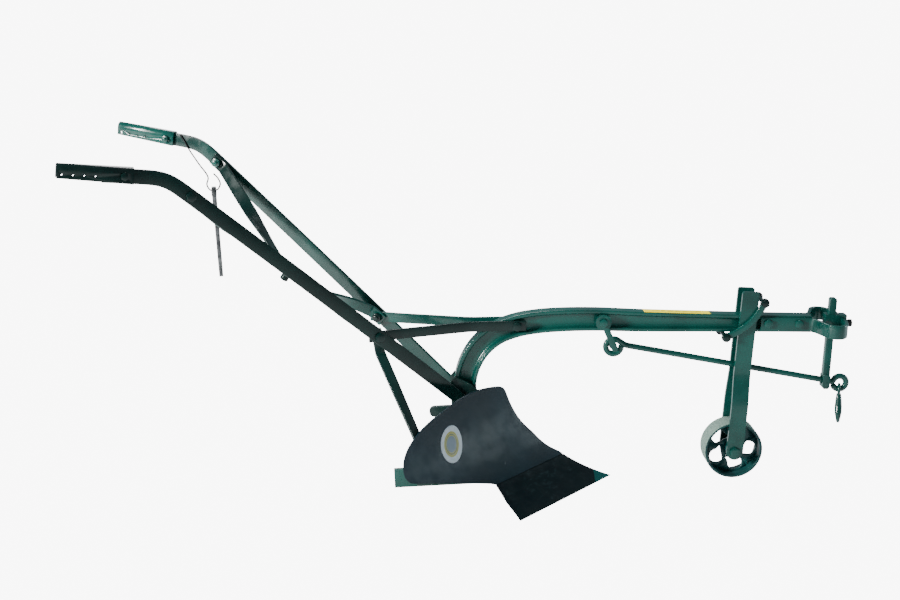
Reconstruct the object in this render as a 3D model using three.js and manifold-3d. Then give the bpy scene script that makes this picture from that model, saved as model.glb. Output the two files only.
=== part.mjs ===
import * as THREE from 'three';
import { mergeVertices } from 'three/addons/utils/BufferGeometryUtils.js';
import Module from 'manifold-3d';

// A one-horse walking plow of bolted steel bars, with a mouldboard that turns the soil to the right.
// +X is the way it travels, +Y the plowman's left and +Z up. Sizes are in millimetres.

// Clearances
const gap = 0.3; // between two pieces that are bolted face to face
const holeGap = 0.4; // around a bolt's shank
const slideGap = 0.5; // beside a piece that slides

// Bolts
const hexReach = 1.83; // centre to corner of a head or nut, for each millimetre of the shank's radius
const sunkDepth = 0.2; // how far a sunk head lies below the surface
const soilHead = 1.6; // height of the flat heads on the share and the mouldboard
const wallHead = 3; // height of the flat heads in the landside

// Beam: a rolled I-section, bent down at the back into a leg
const beamWidth = 32;
const beamRearDepth = 50;
const beamNoseDepth = 38;
const beamWeb = 8;
const beamFlange = 9;
const legEndZ = 112;
const spacerRadius = 12; // the boss behind the beam stays' bolt
const beamLine = [ // centre line as x, z from the foot of the leg to the nose
  [-61, legEndZ], [-61, 190], [-59, 256], [-47, 302], [-21, 343], [16, 372], [62, 388],
  [110, 394.5], [165, 396], [240, 393.5], [345, 385], [512, 374], [733, 360],
];
const beamSteps = 36;

// Share and mouldboard: one hollow surface, swept along level lines parallel to the cutting edge
const edgeAngle = 44.5; // degrees between the cutting edge and the travel direction
const pointX = 279; // tip of the share
const boardRadius = 300;
const boardStart = 28; // slope at the cutting edge, degrees
const shareThickness = 8;
const shareTop = 60;
const boardThickness = 6;
const shareOutline = [[43, 0], [290, 0], [290, shareTop], [-4, shareTop], [17, 28]];
const boardShin = [[168, shareTop + 1], [130, 86], [96, 119], [66, 155], [47, 192], [35, 227]];
const boardCrown = [[26, 238], [11, 245], [-42, 255], [-80, 249], [-115, 238], [-150, 224]];
const boardTail = [[-176, 208], [-197, 186], [-206, 163], [-203, 140], [-193, 127], [-181, 121]];
const boardFoot = [[-112, 98], [-16, 66], [-4, shareTop + 1]];

// Landside: the bar that runs along the furrow wall
const landsideOuterY = 27.3;
const landsideThickness = 9.8;
const landsideHeight = 46;
const heelX = -232;

// Frog: the casting that joins leg, landside, share and mouldboard
const cheekThickness = 8;
const cheekRearX = -91;
const cheekFrontX = -32;
const cheekBottom = 62;
const frogRib = 12;
const frogFace = 8;
const frogBase = 8;
const lugThickness = 12;

// Handles: two flat bars that splay from the leg to the grips
const handleWidth = 30;
const handleThickness = 8;
const handleSplay = 0.37; // sideways run for each unit of backward run
const splayStartX = -84;
const handleLine = [ // centre line as x, z from the foot to the grip
  [-50, 206], [-246, 402], [-430, 584], [-600, 750.5], [-630, 779.5], [-642, 789.5],
  [-654, 796.5], [-668, 801], [-709, 808.5], [-765, 817.5],
];
const footBoltX = -69;
const midBoltX = -246;
const upperBoltX = -606;
const gripFrontX = -709;
const gripRearX = -846;
const gripRise = 0.165;
const gripHalfWidth = 11;
const gripSheet = 2.5;
const gripShoulder = 8.1;
const gripFrontBottom = -15;
const gripRearBottom = -9.9;
const gripHoles = [11, 32.5, 54, 75.5]; // from the rear end
const gripHoleRadius = 3;
const gripHoleZ = -3.7;

// Flat bars between the handles, the beam and the mouldboard
const stayWidth = 23;
const stayThickness = 6;
const braceWidth = 28;
const beamStayX = 63;
const braceCross = [-441, 0, 536]; // where the two cross braces are bolted together
const boardStayBolt = [-159, 172]; // x, z on the face of the mouldboard

// Gauge wheel and its two arms
const wheelRadius = 67;
const wheelWidth = 52;
const wheelRim = 7;
const wheelWeb = 7;
const wheelWindows = 5;
const windowTurn = 24; // degrees, from upright to the first window
const hubRadius = 16;
const hubSideGap = 0.6;
const axleRadius = 7;
const wheelX = 557;
const armLean = 5.3; // degrees forward of upright
const armWidth = 38;
const armThickness = 8;
const armTop = 379; // along the arm, from the axle
const armSplayLow = 112;
const armSplayHigh = 186;

// Clamp that holds the arms on the beam
const bowLine = [[621.5, 419], [607, 395], [589, 374], [566, 358], [535, 343]];
const bowWidth = 15;
const bowThickness = 9;
const bowBoss = 10.5;
const clampBolt = 5;

// Hake: the loop at the nose, with the slider and the upright regulator bar
const hakeX = 700;
const hakeZ = 362.2;
const hakeTilt = 3.6; // degrees nose down, as the beam lies there
const hakeHeight = 31;
const hakeThickness = 8;
const hakeLegStart = -85;
const hakeLegEnd = 26;
const hakeFront = 105;
const hakeBend = [[34, 24], [42, 37], [49, 57], [57, 75], [70, 84], [84, 82], [95, 69], [102, 48], [104.5, 30]];
const hakeStraight = [[hakeFront, 20], [hakeFront, 0]];
const hakeBolts = [-69, 2];
const regulatorSize = 16;
const regulatorU = 82;
const regulatorTop = 59;
const regulatorBoss = [17, 25, 35];
const bossW = -139;
const rodHole = 9.5;
const sliderHalfWidth = 12;
const bridgeThickness = 5;
const jawThickness = 5;
const setScrewRadius = 5;
const setScrewEnd = 15.32;
const setScrewHead = 9;

// Draft rod, drop link and hook
const rodRadius = 7;
const rearRing = [283, 326];
const rearRingRadius = 18;
const rodAboveRing = 8;
const frontRing = [807, 211.5];
const frontRingRadius = 16;
const dropBolt = [258, 390];
const dropEyeRadius = 18;
const dropPeg = 5.5;
const hookWire = 3.5;
const hookEyeRadius = 11;
const hookBend = 19;
const hookBar = 8.5;
const hookTaper = [0.62, 0.86, 1, 0.95, 0.62, 0.42, 0.36, 0.3, 0.2]; // shares of the bar, from eye to point
const hookShank = 36;
const hookTurn = -18.6; // degrees about the shank, from square across the plow

// Spanner tied under the left handle
const spannerX = -621;
const spannerInset = 22.29; // from the left handle's middle towards the plow's
const spannerPivotZ = 692;
const spannerLength = 208;
const spannerThickness = 9;
const spannerEye = 13;
const spannerHole = 6.5;
const wireRadius = 1.8;

const rightSide = -1;
const leftSide = 1;

const wasm = await Module();
wasm.setup();

const paint = new THREE.MeshStandardMaterial({ color: 0x14584c, roughness: 0.35, metalness: 0.2 });
const darkPaint = new THREE.MeshStandardMaterial({ color: 0x0d3d3a, roughness: 0.35, metalness: 0.2 });
const boardPaint = new THREE.MeshStandardMaterial({ color: 0x123a45, roughness: 0.3, metalness: 0.3 });
const wornPaint = new THREE.MeshStandardMaterial({ color: 0x6f9488, roughness: 0.6, metalness: 0.3 });
const plainSteel = new THREE.MeshStandardMaterial({ color: 0x5c5f60, roughness: 0.45, metalness: 0.9 });

const plow = new THREE.Group();
plow.name = 'walking_plow';

// Solids

function solid(geometry) {
  const bare = geometry.clone();
  bare.deleteAttribute('normal');
  bare.deleteAttribute('uv');
  const merged = mergeVertices(bare, 1e-4);
  const vertProperties = new Float32Array(merged.attributes.position.array);
  const triVerts = new Uint32Array(merged.index.array);
  return new wasm.Manifold(new wasm.Mesh({ numProp: 3, vertProperties, triVerts }));
}

function toGeometry(body) {
  const mesh = body.getMesh();
  const geometry = new THREE.BufferGeometry();
  geometry.setAttribute('position', new THREE.BufferAttribute(mesh.vertProperties, 3));
  geometry.setIndex(new THREE.BufferAttribute(mesh.triVerts, 1));
  geometry.computeVertexNormals();
  return geometry;
}

function join(...bodies) {
  return bodies.reduce((whole, body) => whole.add(body));
}

function cut(body, ...tools) {
  return tools.reduce((rest, tool) => rest.subtract(tool), body);
}

function addPiece(name, body, material, group = plow) {
  const mesh = new THREE.Mesh(toGeometry(body), material);
  mesh.name = name;
  group.add(mesh);
}

function vec(x, y, z) {
  return new THREE.Vector3(x, y, z);
}

function shapeOf(points) {
  return new THREE.Shape(points.map(([a, b]) => new THREE.Vector2(a, b)));
}

// An outline in x, z, made solid from one y to another.
function plate(points, fromY, toY) {
  const depth = toY - fromY;
  const geometry = new THREE.ExtrudeGeometry(shapeOf(points), { depth, bevelEnabled: false });
  geometry.rotateX(Math.PI / 2);
  geometry.translate(0, toY, 0);
  return solid(geometry);
}

function box(low, high) {
  const size = high.map((value, i) => value - low[i]);
  const geometry = new THREE.BoxGeometry(...size);
  geometry.translate(...low.map((value, i) => value + size[i] / 2));
  return solid(geometry);
}

function roundBar(from, to, radius, sides = 12) {
  const run = to.clone().sub(from);
  const geometry = new THREE.CylinderGeometry(radius, radius, run.length(), sides);
  const turn = new THREE.Quaternion().setFromUnitVectors(vec(0, 1, 0), run.clone().normalize());
  geometry.applyQuaternion(turn);
  const middle = from.clone().add(to).multiplyScalar(0.5);
  geometry.translate(middle.x, middle.y, middle.z);
  return solid(geometry);
}

// A round bar across the plow, at one x and z.
function crossBar(x, z, fromY, toY, radius, sides = 12) {
  return roundBar(vec(x, fromY, z), vec(x, toY, z), radius, sides);
}

// The outline of a band of even width along a line of x, z or x, y points.
function band(line, width) {
  const [left, right] = [[], []];
  line.forEach(([a, b], i) => {
    const [a0, b0] = line[Math.max(i - 1, 0)];
    const [a1, b1] = line[Math.min(i + 1, line.length - 1)];
    const before = new THREE.Vector2(a - a0, b - b0).normalize();
    const after = new THREE.Vector2(a1 - a, b1 - b).normalize();
    const along = before.clone().add(after).normalize();
    const stretch = Math.max(along.dot(before), along.dot(after));
    const half = width / 2 / stretch;
    left.push([a - along.y * half, b + along.x * half]);
    right.push([a + along.y * half, b - along.x * half]);
  });
  return [...left, ...right.reverse()];
}

// An outline in x, y, made solid from one z to another.
function slab(points, fromZ, toZ) {
  const options = { depth: toZ - fromZ, bevelEnabled: false };
  const geometry = new THREE.ExtrudeGeometry(shapeOf(points), options);
  geometry.translate(0, 0, fromZ);
  return solid(geometry);
}

// A flat bar on edge: its plan and its side view are both bands.
function edgeBar(plan, sideView, width, thickness) {
  return slab(band(plan, thickness), 0, 1000).intersect(plate(band(sideView, width), -500, 500));
}

// A flat bar along a path. Its wide side faces along the normal that faceAt gives at each point.
function ribbon(path, faceAt, width, thickness) {
  const corners = [];
  path.forEach((at, i) => {
    const before = path[Math.max(i - 1, 0)];
    const after = path[Math.min(i + 1, path.length - 1)];
    const toHere = at.clone().sub(before).normalize();
    const onward = after.clone().sub(at).normalize();
    const along = toHere.add(onward).normalize();
    const across = along.clone().cross(faceAt(i)).normalize();
    const face = across.clone().cross(along).normalize();
    for (const [a, b] of [[1, 1], [-1, 1], [-1, -1], [1, -1]]) {
      const corner = at.clone().addScaledVector(across, a * width / 2);
      corners.push(corner.addScaledVector(face, b * thickness / 2));
    }
  });
  const index = [0, 1, 2, 0, 2, 3];
  const last = corners.length - 4;
  index.push(last, last + 2, last + 1, last, last + 3, last + 2);
  for (let i = 0; i < last; i += 4) {
    for (let k = 0; k < 4; k += 1) {
      const a = i + k;
      const b = i + (k + 1) % 4;
      index.push(a, a + 4, b, b, a + 4, b + 4);
    }
  }
  const geometry = new THREE.BufferGeometry().setFromPoints(corners);
  geometry.setIndex(signedVolume(corners, index) > 0 ? index : index.reverse());
  return solid(geometry);
}

function signedVolume(corners, index) {
  let total = 0;
  for (let i = 0; i < index.length; i += 3) {
    const [a, b, c] = [corners[index[i]], corners[index[i + 1]], corners[index[i + 2]]];
    total += a.dot(b.clone().cross(c));
  }
  return total;
}

function arc(centreX, centreZ, radius, fromDegrees, toDegrees, steps) {
  const points = [];
  for (let i = 0; i <= steps; i += 1) {
    const angle = THREE.MathUtils.degToRad(fromDegrees + (toDegrees - fromDegrees) * i / steps);
    points.push([centreX + radius * Math.cos(angle), centreZ + radius * Math.sin(angle)]);
  }
  return points;
}

// A round bar along a path in a plane of constant x, with a radius for each point.
function taperedBar(path, radii, sides = 8) {
  const corners = [path[0].clone()];
  path.forEach((at, i) => {
    const before = path[Math.max(i - 1, 0)];
    const after = path[Math.min(i + 1, path.length - 1)];
    const along = after.clone().sub(before).normalize();
    const across = vec(1, 0, 0);
    const upward = along.clone().cross(across);
    for (let k = 0; k < sides; k += 1) {
      const angle = 2 * Math.PI * k / sides;
      const corner = at.clone().addScaledVector(across, radii[i] * Math.cos(angle));
      corners.push(corner.addScaledVector(upward, radii[i] * Math.sin(angle)));
    }
  });
  corners.push(path[path.length - 1].clone());
  const index = [];
  for (let k = 0; k < sides; k += 1) {
    const next = (k + 1) % sides;
    index.push(0, 1 + k, 1 + next);
    for (let i = 0; i < path.length - 1; i += 1) {
      const [a, b] = [1 + i * sides + k, 1 + i * sides + next];
      index.push(a, a + sides, b, b, a + sides, b + sides);
    }
    const ring = 1 + (path.length - 1) * sides;
    index.push(corners.length - 1, ring + next, ring + k);
  }
  const geometry = new THREE.BufferGeometry().setFromPoints(corners);
  geometry.setIndex(signedVolume(corners, index) > 0 ? index : index.reverse());
  return solid(geometry);
}

// Bolts: each has a hexagonal head, a shank and a nut, and is drilled through what it holds.

const bolts = new Map();

function placeBolt(name, headFace, nutFace, radius, headHeight = radius * 1.25) {
  bolts.set(name, { headFace, nutFace, radius, headHeight });
}

// A bolt whose head is let into the surface it is placed on, so that it lies just below it.
function placeSunkBolt(name, surface, nutFace, radius, headHeight) {
  const way = surface.clone().sub(nutFace).normalize();
  const headFace = surface.clone().addScaledVector(way, -(headHeight + gap + sunkDepth));
  bolts.set(name, { headFace, nutFace, radius, headHeight, sunk: true });
}

function boltSolid({ headFace, nutFace, radius, headHeight }) {
  const way = headFace.clone().sub(nutFace).normalize();
  const headStart = headFace.clone().addScaledVector(way, gap);
  const headEnd = headStart.clone().addScaledVector(way, headHeight);
  const nutStart = nutFace.clone().addScaledVector(way, -gap);
  const nutEnd = nutStart.clone().addScaledVector(way, -radius * 1.6);
  const tip = nutEnd.clone().addScaledVector(way, -radius * 0.7);
  const shankTop = headStart.clone().addScaledVector(way, headHeight / 2);
  const corner = radius * hexReach;
  const head = roundBar(headStart, headEnd, corner, 6);
  const nut = roundBar(nutEnd, nutStart, corner, 6);
  return join(roundBar(tip, shankTop, radius), head, nut);
}

function drill(body, ...names) {
  const tools = names.map((name) => {
    const { headFace, nutFace, radius, sunk } = bolts.get(name);
    const way = headFace.clone().sub(nutFace).normalize();
    const from = nutFace.clone().addScaledVector(way, -radius * 3);
    const to = headFace.clone().addScaledVector(way, radius * 2);
    const hole = roundBar(from, to, radius + holeGap);
    return sunk ? hole.add(roundBar(headFace, to, radius * hexReach + holeGap, 20)) : hole;
  });
  return cut(body, ...tools);
}

// Places worked out from the sizes above

const cheekInnerY = beamWidth / 2 + gap;
const cheekOuterY = cheekInnerY + cheekThickness;
const handleFootY = cheekOuterY + gap + handleThickness / 2;
const splayTurn = Math.atan(handleSplay);

function handleY(x) {
  return handleFootY + handleSplay * Math.max(splayStartX - x, 0);
}

function handleZ(x) {
  const next = Math.max(handleLine.findIndex(([lineX]) => lineX <= x), 1);
  const [[x0, z0], [x1, z1]] = [handleLine[next - 1], handleLine[next]];
  return z0 + (z1 - z0) * (x - x0) / (x1 - x0);
}

// The outward sideways normal of a handle bar on one side of the plow.
function handleFace(side) {
  return vec(Math.sin(splayTurn), side * Math.cos(splayTurn), 0);
}

// A point beside the centre plane of a handle; a minus distance is on the inner side.
function besideHandle(side, x, outward) {
  return vec(x, side * handleY(x), handleZ(x)).addScaledVector(handleFace(side), outward);
}

const turn = THREE.MathUtils.degToRad(edgeAngle);
const edgeWay = vec(-Math.cos(turn), -Math.sin(turn), 0); // along the cutting edge, to its outer end
const backWay = vec(-Math.sin(turn), Math.cos(turn), 0); // level, away from the cutting edge
const startAngle = THREE.MathUtils.degToRad(boardStart);

function boardRun(angle, depth) {
  return (boardRadius + depth) * Math.sin(angle) - boardRadius * Math.sin(startAngle);
}

function boardRise(angle, depth) {
  return boardRadius * Math.cos(startAngle) - (boardRadius + depth) * Math.cos(angle);
}

function boardNormal(angle) {
  return backWay.clone().multiplyScalar(-Math.sin(angle)).setZ(Math.cos(angle));
}

// The point of the front surface at an x and a z, and the angle of the surface there.
function onBoard(x, z) {
  const angle = Math.acos(Math.cos(startAngle) - z / boardRadius);
  const run = boardRun(angle, 0);
  const along = (x - pointX - backWay.x * run) / edgeWay.x;
  const point = vec(pointX, landsideOuterY, z).addScaledVector(backWay, run);
  return { point: point.addScaledVector(edgeWay, along), angle };
}

const boardFromDegrees = 14;
const boardToDegrees = 94;
const boardSteps = 18;
const boardSpan = 640;

function boardArc(depth) {
  const points = [];
  for (let i = 0; i <= boardSteps; i += 1) {
    const degrees = boardFromDegrees + (boardToDegrees - boardFromDegrees) * i / boardSteps;
    const angle = THREE.MathUtils.degToRad(degrees);
    points.push([boardRun(angle, depth), boardRise(angle, depth)]);
  }
  return points;
}

function alongEdge(profile) {
  const options = { depth: boardSpan, bevelEnabled: false };
  const geometry = new THREE.ExtrudeGeometry(shapeOf(profile), options);
  const inward = edgeWay.clone().negate();
  const frame = new THREE.Matrix4().makeBasis(backWay, vec(0, 0, 1), inward);
  const origin = vec(pointX, landsideOuterY, 0).addScaledVector(edgeWay, boardSpan * 0.85);
  geometry.applyMatrix4(frame.setPosition(origin));
  return solid(geometry);
}

// A curved sheet between two depths behind the front surface.
function boardShell(fromDepth, toDepth) {
  return alongEdge([...boardArc(fromDepth), ...boardArc(toDepth).reverse()]);
}

// Everything in front of a depth behind the front surface.
function inFrontOf(depth) {
  const back = boardArc(depth);
  const [, low] = back[0];
  const [, high] = back[boardSteps];
  return alongEdge([...back, [-260, high], [-260, low]]);
}

const armTurn = THREE.MathUtils.degToRad(armLean);
const armWay = vec(Math.sin(armTurn), 0, Math.cos(armTurn));
const armInnerLow = wheelWidth / 2 + 2.5;
const armInnerHigh = beamWidth / 2 + slideGap;
const bowInner = armInnerHigh + armThickness + gap;
const hakeInner = beamWidth / 2 + gap;
const webBolt = 6;

const front = new THREE.Group();
front.position.set(hakeX, 0, hakeZ);
front.rotation.y = THREE.MathUtils.degToRad(hakeTilt);
front.updateMatrixWorld();
plow.add(front);

// Bolt places

const legBoltZ = 140;
const footZ = handleZ(footBoltX);
const footBoltY = handleFootY + handleThickness / 2;
placeBolt('foot_bolt', vec(footBoltX, -footBoltY, footZ), vec(footBoltX, footBoltY, footZ), webBolt);
placeBolt('leg_bolt', vec(-61, -cheekOuterY, legBoltZ), vec(-61, cheekOuterY, legBoltZ), webBolt);

const stackStep = stayThickness + gap;
const firstInner = -(handleThickness / 2 + gap + stayThickness / 2);
const midNames = { [rightSide]: 'mid_bolt_right', [leftSide]: 'mid_bolt_left' };
const upperNames = { [rightSide]: 'upper_bolt_right', [leftSide]: 'upper_bolt_left' };
const gripNames = { [rightSide]: 'grip_bolt_right', [leftSide]: 'grip_bolt_left' };
const midStack = { [rightSide]: 3, [leftSide]: 2 };
const gripBoltX = gripFrontX - 17;
for (const side of [rightSide, leftSide]) {
  const outer = handleThickness / 2;
  const midInner = -(outer + stackStep * midStack[side]);
  placeBolt(midNames[side], besideHandle(side, midBoltX, outer), besideHandle(side, midBoltX, midInner), webBolt);
  const upperInner = -(outer + stackStep);
  placeBolt(upperNames[side], besideHandle(side, upperBoltX, outer), besideHandle(side, upperBoltX, upperInner), webBolt);
  const gripOuter = besideHandle(side, gripBoltX, gripHalfWidth);
  placeBolt(gripNames[side], gripOuter, besideHandle(side, gripBoltX, -gripHalfWidth), 4.5);
}

const beamStayZ = 391;
const stayFaceY = beamWidth / 2 + gap + stayThickness;
placeBolt('beam_stay_bolt', vec(beamStayX, -stayFaceY, beamStayZ), vec(beamStayX, stayFaceY, beamStayZ), webBolt);

const dropOuterY = beamWidth / 2 + slideGap + 8;
const [dropX, dropZ] = dropBolt;
placeBolt('drop_link_bolt', vec(dropX, -dropOuterY - slideGap, dropZ), vec(dropX, beamWeb / 2, dropZ), 5.5);

const bowOuter = bowInner + bowThickness;
for (const [name, end] of [['clamp_bolt_upper', 0], ['clamp_bolt_lower', bowLine.length - 1]]) {
  const [x, z] = bowLine[end];
  placeBolt(name, vec(x, -bowOuter, z), vec(x, bowOuter, z), clampBolt);
}

const wheelCentre = vec(wheelX, 0, wheelRadius);
const armOuterLow = armInnerLow + armThickness;
placeBolt('axle_bolt', vec(wheelX, -armOuterLow, wheelRadius), vec(wheelX, armOuterLow, wheelRadius), axleRadius, 8);

hakeBolts.forEach((u, i) => {
  const near = front.localToWorld(vec(u, -hakeInner - hakeThickness, 3));
  const far = front.localToWorld(vec(u, hakeInner + hakeThickness, 3));
  placeBolt(`hake_bolt_${i + 1}`, near, far, 5.5);
});

const crossPoint = vec(...braceCross);
const upperEnd = besideHandle(leftSide, upperBoltX, firstInner);
const lowerEnd = besideHandle(rightSide, midBoltX, firstInner - stackStep * 2);
const fallWay = crossPoint.clone().sub(upperEnd).add(lowerEnd.clone().sub(crossPoint)).normalize();
const crossFace = fallWay.clone().cross(fallWay.clone().setY(-fallWay.y)).normalize();
const crossHalf = stayThickness + gap / 2;
const crossTop = crossPoint.clone().addScaledVector(crossFace, crossHalf);
placeBolt('brace_bolt', crossTop, crossPoint.clone().addScaledVector(crossFace, -crossHalf), webBolt);

const frogBackShare = shareThickness + gap + frogFace;
const frogBackBoard = boardThickness + gap + frogFace;
const soilBolts = [
  ['share_bolt_inner', 140, 34, frogBackShare],
  ['share_bolt_outer', 86, 34, frogBackShare],
  ['board_bolt_inner', 60, 92, frogBackBoard],
  ['board_bolt_outer', 17, 92, frogBackBoard],
  ['board_stay_bolt', ...boardStayBolt, boardThickness + gap + stayThickness],
];
for (const [name, x, z, depth] of soilBolts) {
  const { point, angle } = onBoard(x, z);
  placeSunkBolt(name, point, point.clone().addScaledVector(boardNormal(angle), -depth), 5.5, soilHead);
}

const landsideInnerY = landsideOuterY - landsideThickness;
const ribInnerY = landsideInnerY - gap - frogRib;
[-150, 20].forEach((x, i) => {
  placeSunkBolt(`landside_bolt_${i + 1}`, vec(x, landsideOuterY, 26), vec(x, ribInnerY, 26), 5.5, wallHead);
});

// Beam

function beamOutline(inset, overrun) {
  const curve = new THREE.CatmullRomCurve3(beamLine.map(([x, z]) => vec(x, 0, z)), false, 'centripetal');
  const upper = [];
  const lower = [];
  for (let i = 0; i <= beamSteps; i += 1) {
    const share = i / beamSteps;
    const at = curve.getPointAt(share);
    const along = curve.getTangentAt(share);
    const end = i === 0 ? -overrun : (i === beamSteps ? overrun : 0);
    at.addScaledVector(along, end);
    const taper = THREE.MathUtils.smoothstep(share, 0.35, 1);
    const half = THREE.MathUtils.lerp(beamRearDepth, beamNoseDepth, taper) / 2 - inset;
    upper.push([at.x - along.z * half, at.z + along.x * half]);
    lower.push([at.x + along.z * half, at.z - along.x * half]);
  }
  return [...upper, ...lower.reverse()];
}

function makeBeam() {
  const bar = plate(beamOutline(0, 0), -beamWidth / 2, beamWidth / 2);
  const hollow = beamOutline(beamFlange, 2);
  const rightHollow = plate(hollow, -beamWidth, -beamWeb / 2);
  const leftHollow = plate(hollow, beamWeb / 2, beamWidth);
  const spacer = crossBar(beamStayX, beamStayZ, -beamWidth / 2, beamWidth / 2, spacerRadius, 16);
  const section = cut(bar, rightHollow, leftHollow).add(spacer);
  const names = ['foot_bolt', 'leg_bolt', 'beam_stay_bolt', 'drop_link_bolt', 'hake_bolt_1', 'hake_bolt_2'];
  addPiece('beam', drill(section, ...names), paint);
}

// Share, mouldboard, landside and frog

function makeShare() {
  const blade = boardShell(0, shareThickness).intersect(plate(shareOutline, -420, landsideOuterY));
  addPiece('share', drill(blade, 'share_bolt_inner', 'share_bolt_outer'), boardPaint);
}

function makeMouldboard() {
  const outline = [...boardShin, ...boardCrown, ...boardTail, ...boardFoot];
  const sheet = boardShell(0, boardThickness).intersect(plate(outline, -420, landsideOuterY));
  addPiece('mouldboard', drill(sheet, 'board_bolt_inner', 'board_bolt_outer', 'board_stay_bolt'), boardPaint);
}

function makeLandside() {
  const frontX = pointX - 20;
  const outline = [[heelX, 0], [frontX, 0], [frontX, landsideHeight], [heelX, landsideHeight]];
  const bar = plate(outline, landsideInnerY, landsideOuterY);
  const body = cut(bar, inFrontOf(shareThickness + gap));
  addPiece('landside', drill(body, 'landside_bolt_1', 'landside_bolt_2'), paint);
}

function makeFrog() {
  const cheekOutline = [
    [cheekRearX, cheekBottom], [cheekFrontX, cheekBottom], [cheekFrontX, 246],
    [cheekFrontX - 14, 260], [cheekRearX + 10, 280], [cheekRearX, 268],
  ];
  const rightCheek = plate(cheekOutline, -cheekOuterY, -cheekInnerY);
  const leftCheek = plate(cheekOutline, cheekInnerY, cheekOuterY);
  const blockTop = legEndZ - gap;
  const block = box([cheekRearX, -cheekOuterY, cheekBottom], [cheekFrontX, cheekOuterY, blockTop]);
  const ribOutline = [
    [-180, frogBase], [200, frogBase], [200, 50], [60, 100], [cheekFrontX, blockTop],
    [cheekRearX, blockTop], [-180, landsideHeight],
  ];
  const rib = plate(ribOutline, ribInnerY, landsideInnerY - gap);
  const spineOutline = [
    [cheekRearX, 42], [150, 42], [150, 84], [cheekFrontX, blockTop], [cheekRearX, blockTop],
  ];
  const spine = plate(spineOutline, -14, ribInnerY + 1);
  const shareOutlineBehind = [[60, 16], [220, 16], [200, shareTop + 12], [20, shareTop + 12]];
  const boardOutlineBehind = [[20, shareTop + 1], [160, shareTop + 1], [112, 104], [-6, 112]];
  const behindShare = boardShell(shareThickness + gap, frogBackShare);
  const behindBoard = boardShell(boardThickness + gap, frogBackBoard);
  const lowerFace = behindShare.intersect(plate(shareOutlineBehind, -420, landsideInnerY - gap));
  const upperFace = behindBoard.intersect(plate(boardOutlineBehind, -420, landsideInnerY - gap));
  const lugOutline = [[cheekFrontX, 173], [-131, 173], ...arc(-131, 185, 12, 270, 90, 8), [cheekFrontX, 197]];
  const lug = plate(lugOutline, cheekOuterY - lugThickness, cheekOuterY);
  const legSpace = plate(beamOutline(-gap, gap), -cheekInnerY, cheekInnerY);
  const cast = join(rib, spine, lug);
  const ahead = inFrontOf(shareThickness + gap);
  const core = cut(cast, ahead, legSpace);
  const body = join(core, block, rightCheek, leftCheek, lowerFace, upperFace);
  const names = ['foot_bolt', 'leg_bolt', 'landside_bolt_1', 'landside_bolt_2', 'share_bolt_inner'];
  names.push('share_bolt_outer', 'board_bolt_inner', 'board_bolt_outer');
  addPiece('frog', drill(body, ...names), darkPaint);
}

// Handles and grips

function makeHandle(side, name) {
  const plan = [0, splayStartX, -900].map((x) => [x, side * handleY(x)]);
  const bar = edgeBar(plan, handleLine, handleWidth, handleThickness);
  addPiece(name, drill(bar, 'foot_bolt', midNames[side], upperNames[side], gripNames[side]), darkPaint);
}

function makeGrip(side, name) {
  const outerTop = arc(0, gripShoulder, gripHalfWidth, 0, 180, 8);
  const innerTop = arc(0, gripShoulder, gripHalfWidth - gripSheet, 180, 0, 8);
  const inner = gripHalfWidth - gripSheet;
  const profile = [
    [gripHalfWidth, gripFrontBottom], ...outerTop, [-gripHalfWidth, gripFrontBottom],
    [-inner, gripFrontBottom], ...innerTop, [inner, gripFrontBottom],
  ];
  const start = vec(gripFrontX, side * handleY(gripFrontX), handleZ(gripFrontX));
  const end = vec(gripRearX, side * handleY(gripRearX), start.z + gripRise * (gripFrontX - gripRearX));
  const along = end.clone().sub(start);
  const depth = along.length();
  along.normalize();
  const across = vec(0, 0, 1).cross(along).normalize();
  const upward = along.clone().cross(across);
  const frame = new THREE.Matrix4().makeBasis(across, upward, along).setPosition(start);
  const geometry = new THREE.ExtrudeGeometry(shapeOf(profile), { depth, bevelEnabled: false });
  geometry.applyMatrix4(frame);
  const holes = gripHoles.map((fromRear) => {
    const from = vec(-gripHalfWidth - 2, gripHoleZ, depth - fromRear).applyMatrix4(frame);
    const to = vec(gripHalfWidth + 2, gripHoleZ, depth - fromRear).applyMatrix4(frame);
    return roundBar(from, to, gripHoleRadius);
  });
  const low = gripFrontBottom - 1;
  const wedge = [[0, low], [depth + 1, low], [depth + 1, gripRearBottom], [0, gripFrontBottom]];
  const options = { depth: gripHalfWidth * 4, bevelEnabled: false };
  const taper = new THREE.ExtrudeGeometry(shapeOf(wedge), options);
  taper.translate(0, 0, -gripHalfWidth * 2);
  const turnedFrame = new THREE.Matrix4().makeBasis(along, upward, across.clone().negate());
  taper.applyMatrix4(turnedFrame.setPosition(start));
  addPiece(name, drill(cut(solid(geometry), solid(taper), ...holes), gripNames[side]), paint);
}

// Flat stays and braces

function makeBeamStay(side, name) {
  const beamY = side * (stayFaceY - stayThickness / 2);
  const onHandle = [midBoltX - 22, midBoltX + 42].map((x) => besideHandle(side, x, firstInner));
  const plan = [...onHandle.map(({ x, y }) => [x, y]), [beamStayX - 105, beamY], [beamStayX + 20, beamY]];
  const sideView = [[midBoltX - 22, handleZ(midBoltX)], [beamStayX + 20, beamStayZ]];
  const bar = edgeBar(plan, sideView, stayWidth, stayThickness);
  addPiece(name, drill(bar, midNames[side], 'beam_stay_bolt'), paint);
}

// Points from one place to another that turn the face evenly from one normal to the other.
function twist(from, to, fromFace, toFace, steps) {
  const stations = [];
  for (let i = 0; i <= steps; i += 1) {
    const share = i / steps;
    const ease = share * share * (3 - 2 * share);
    const at = from.clone().lerp(to, share);
    stations.push({ at, face: fromFace.clone().lerp(toFace, ease).normalize() });
  }
  return stations;
}

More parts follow.
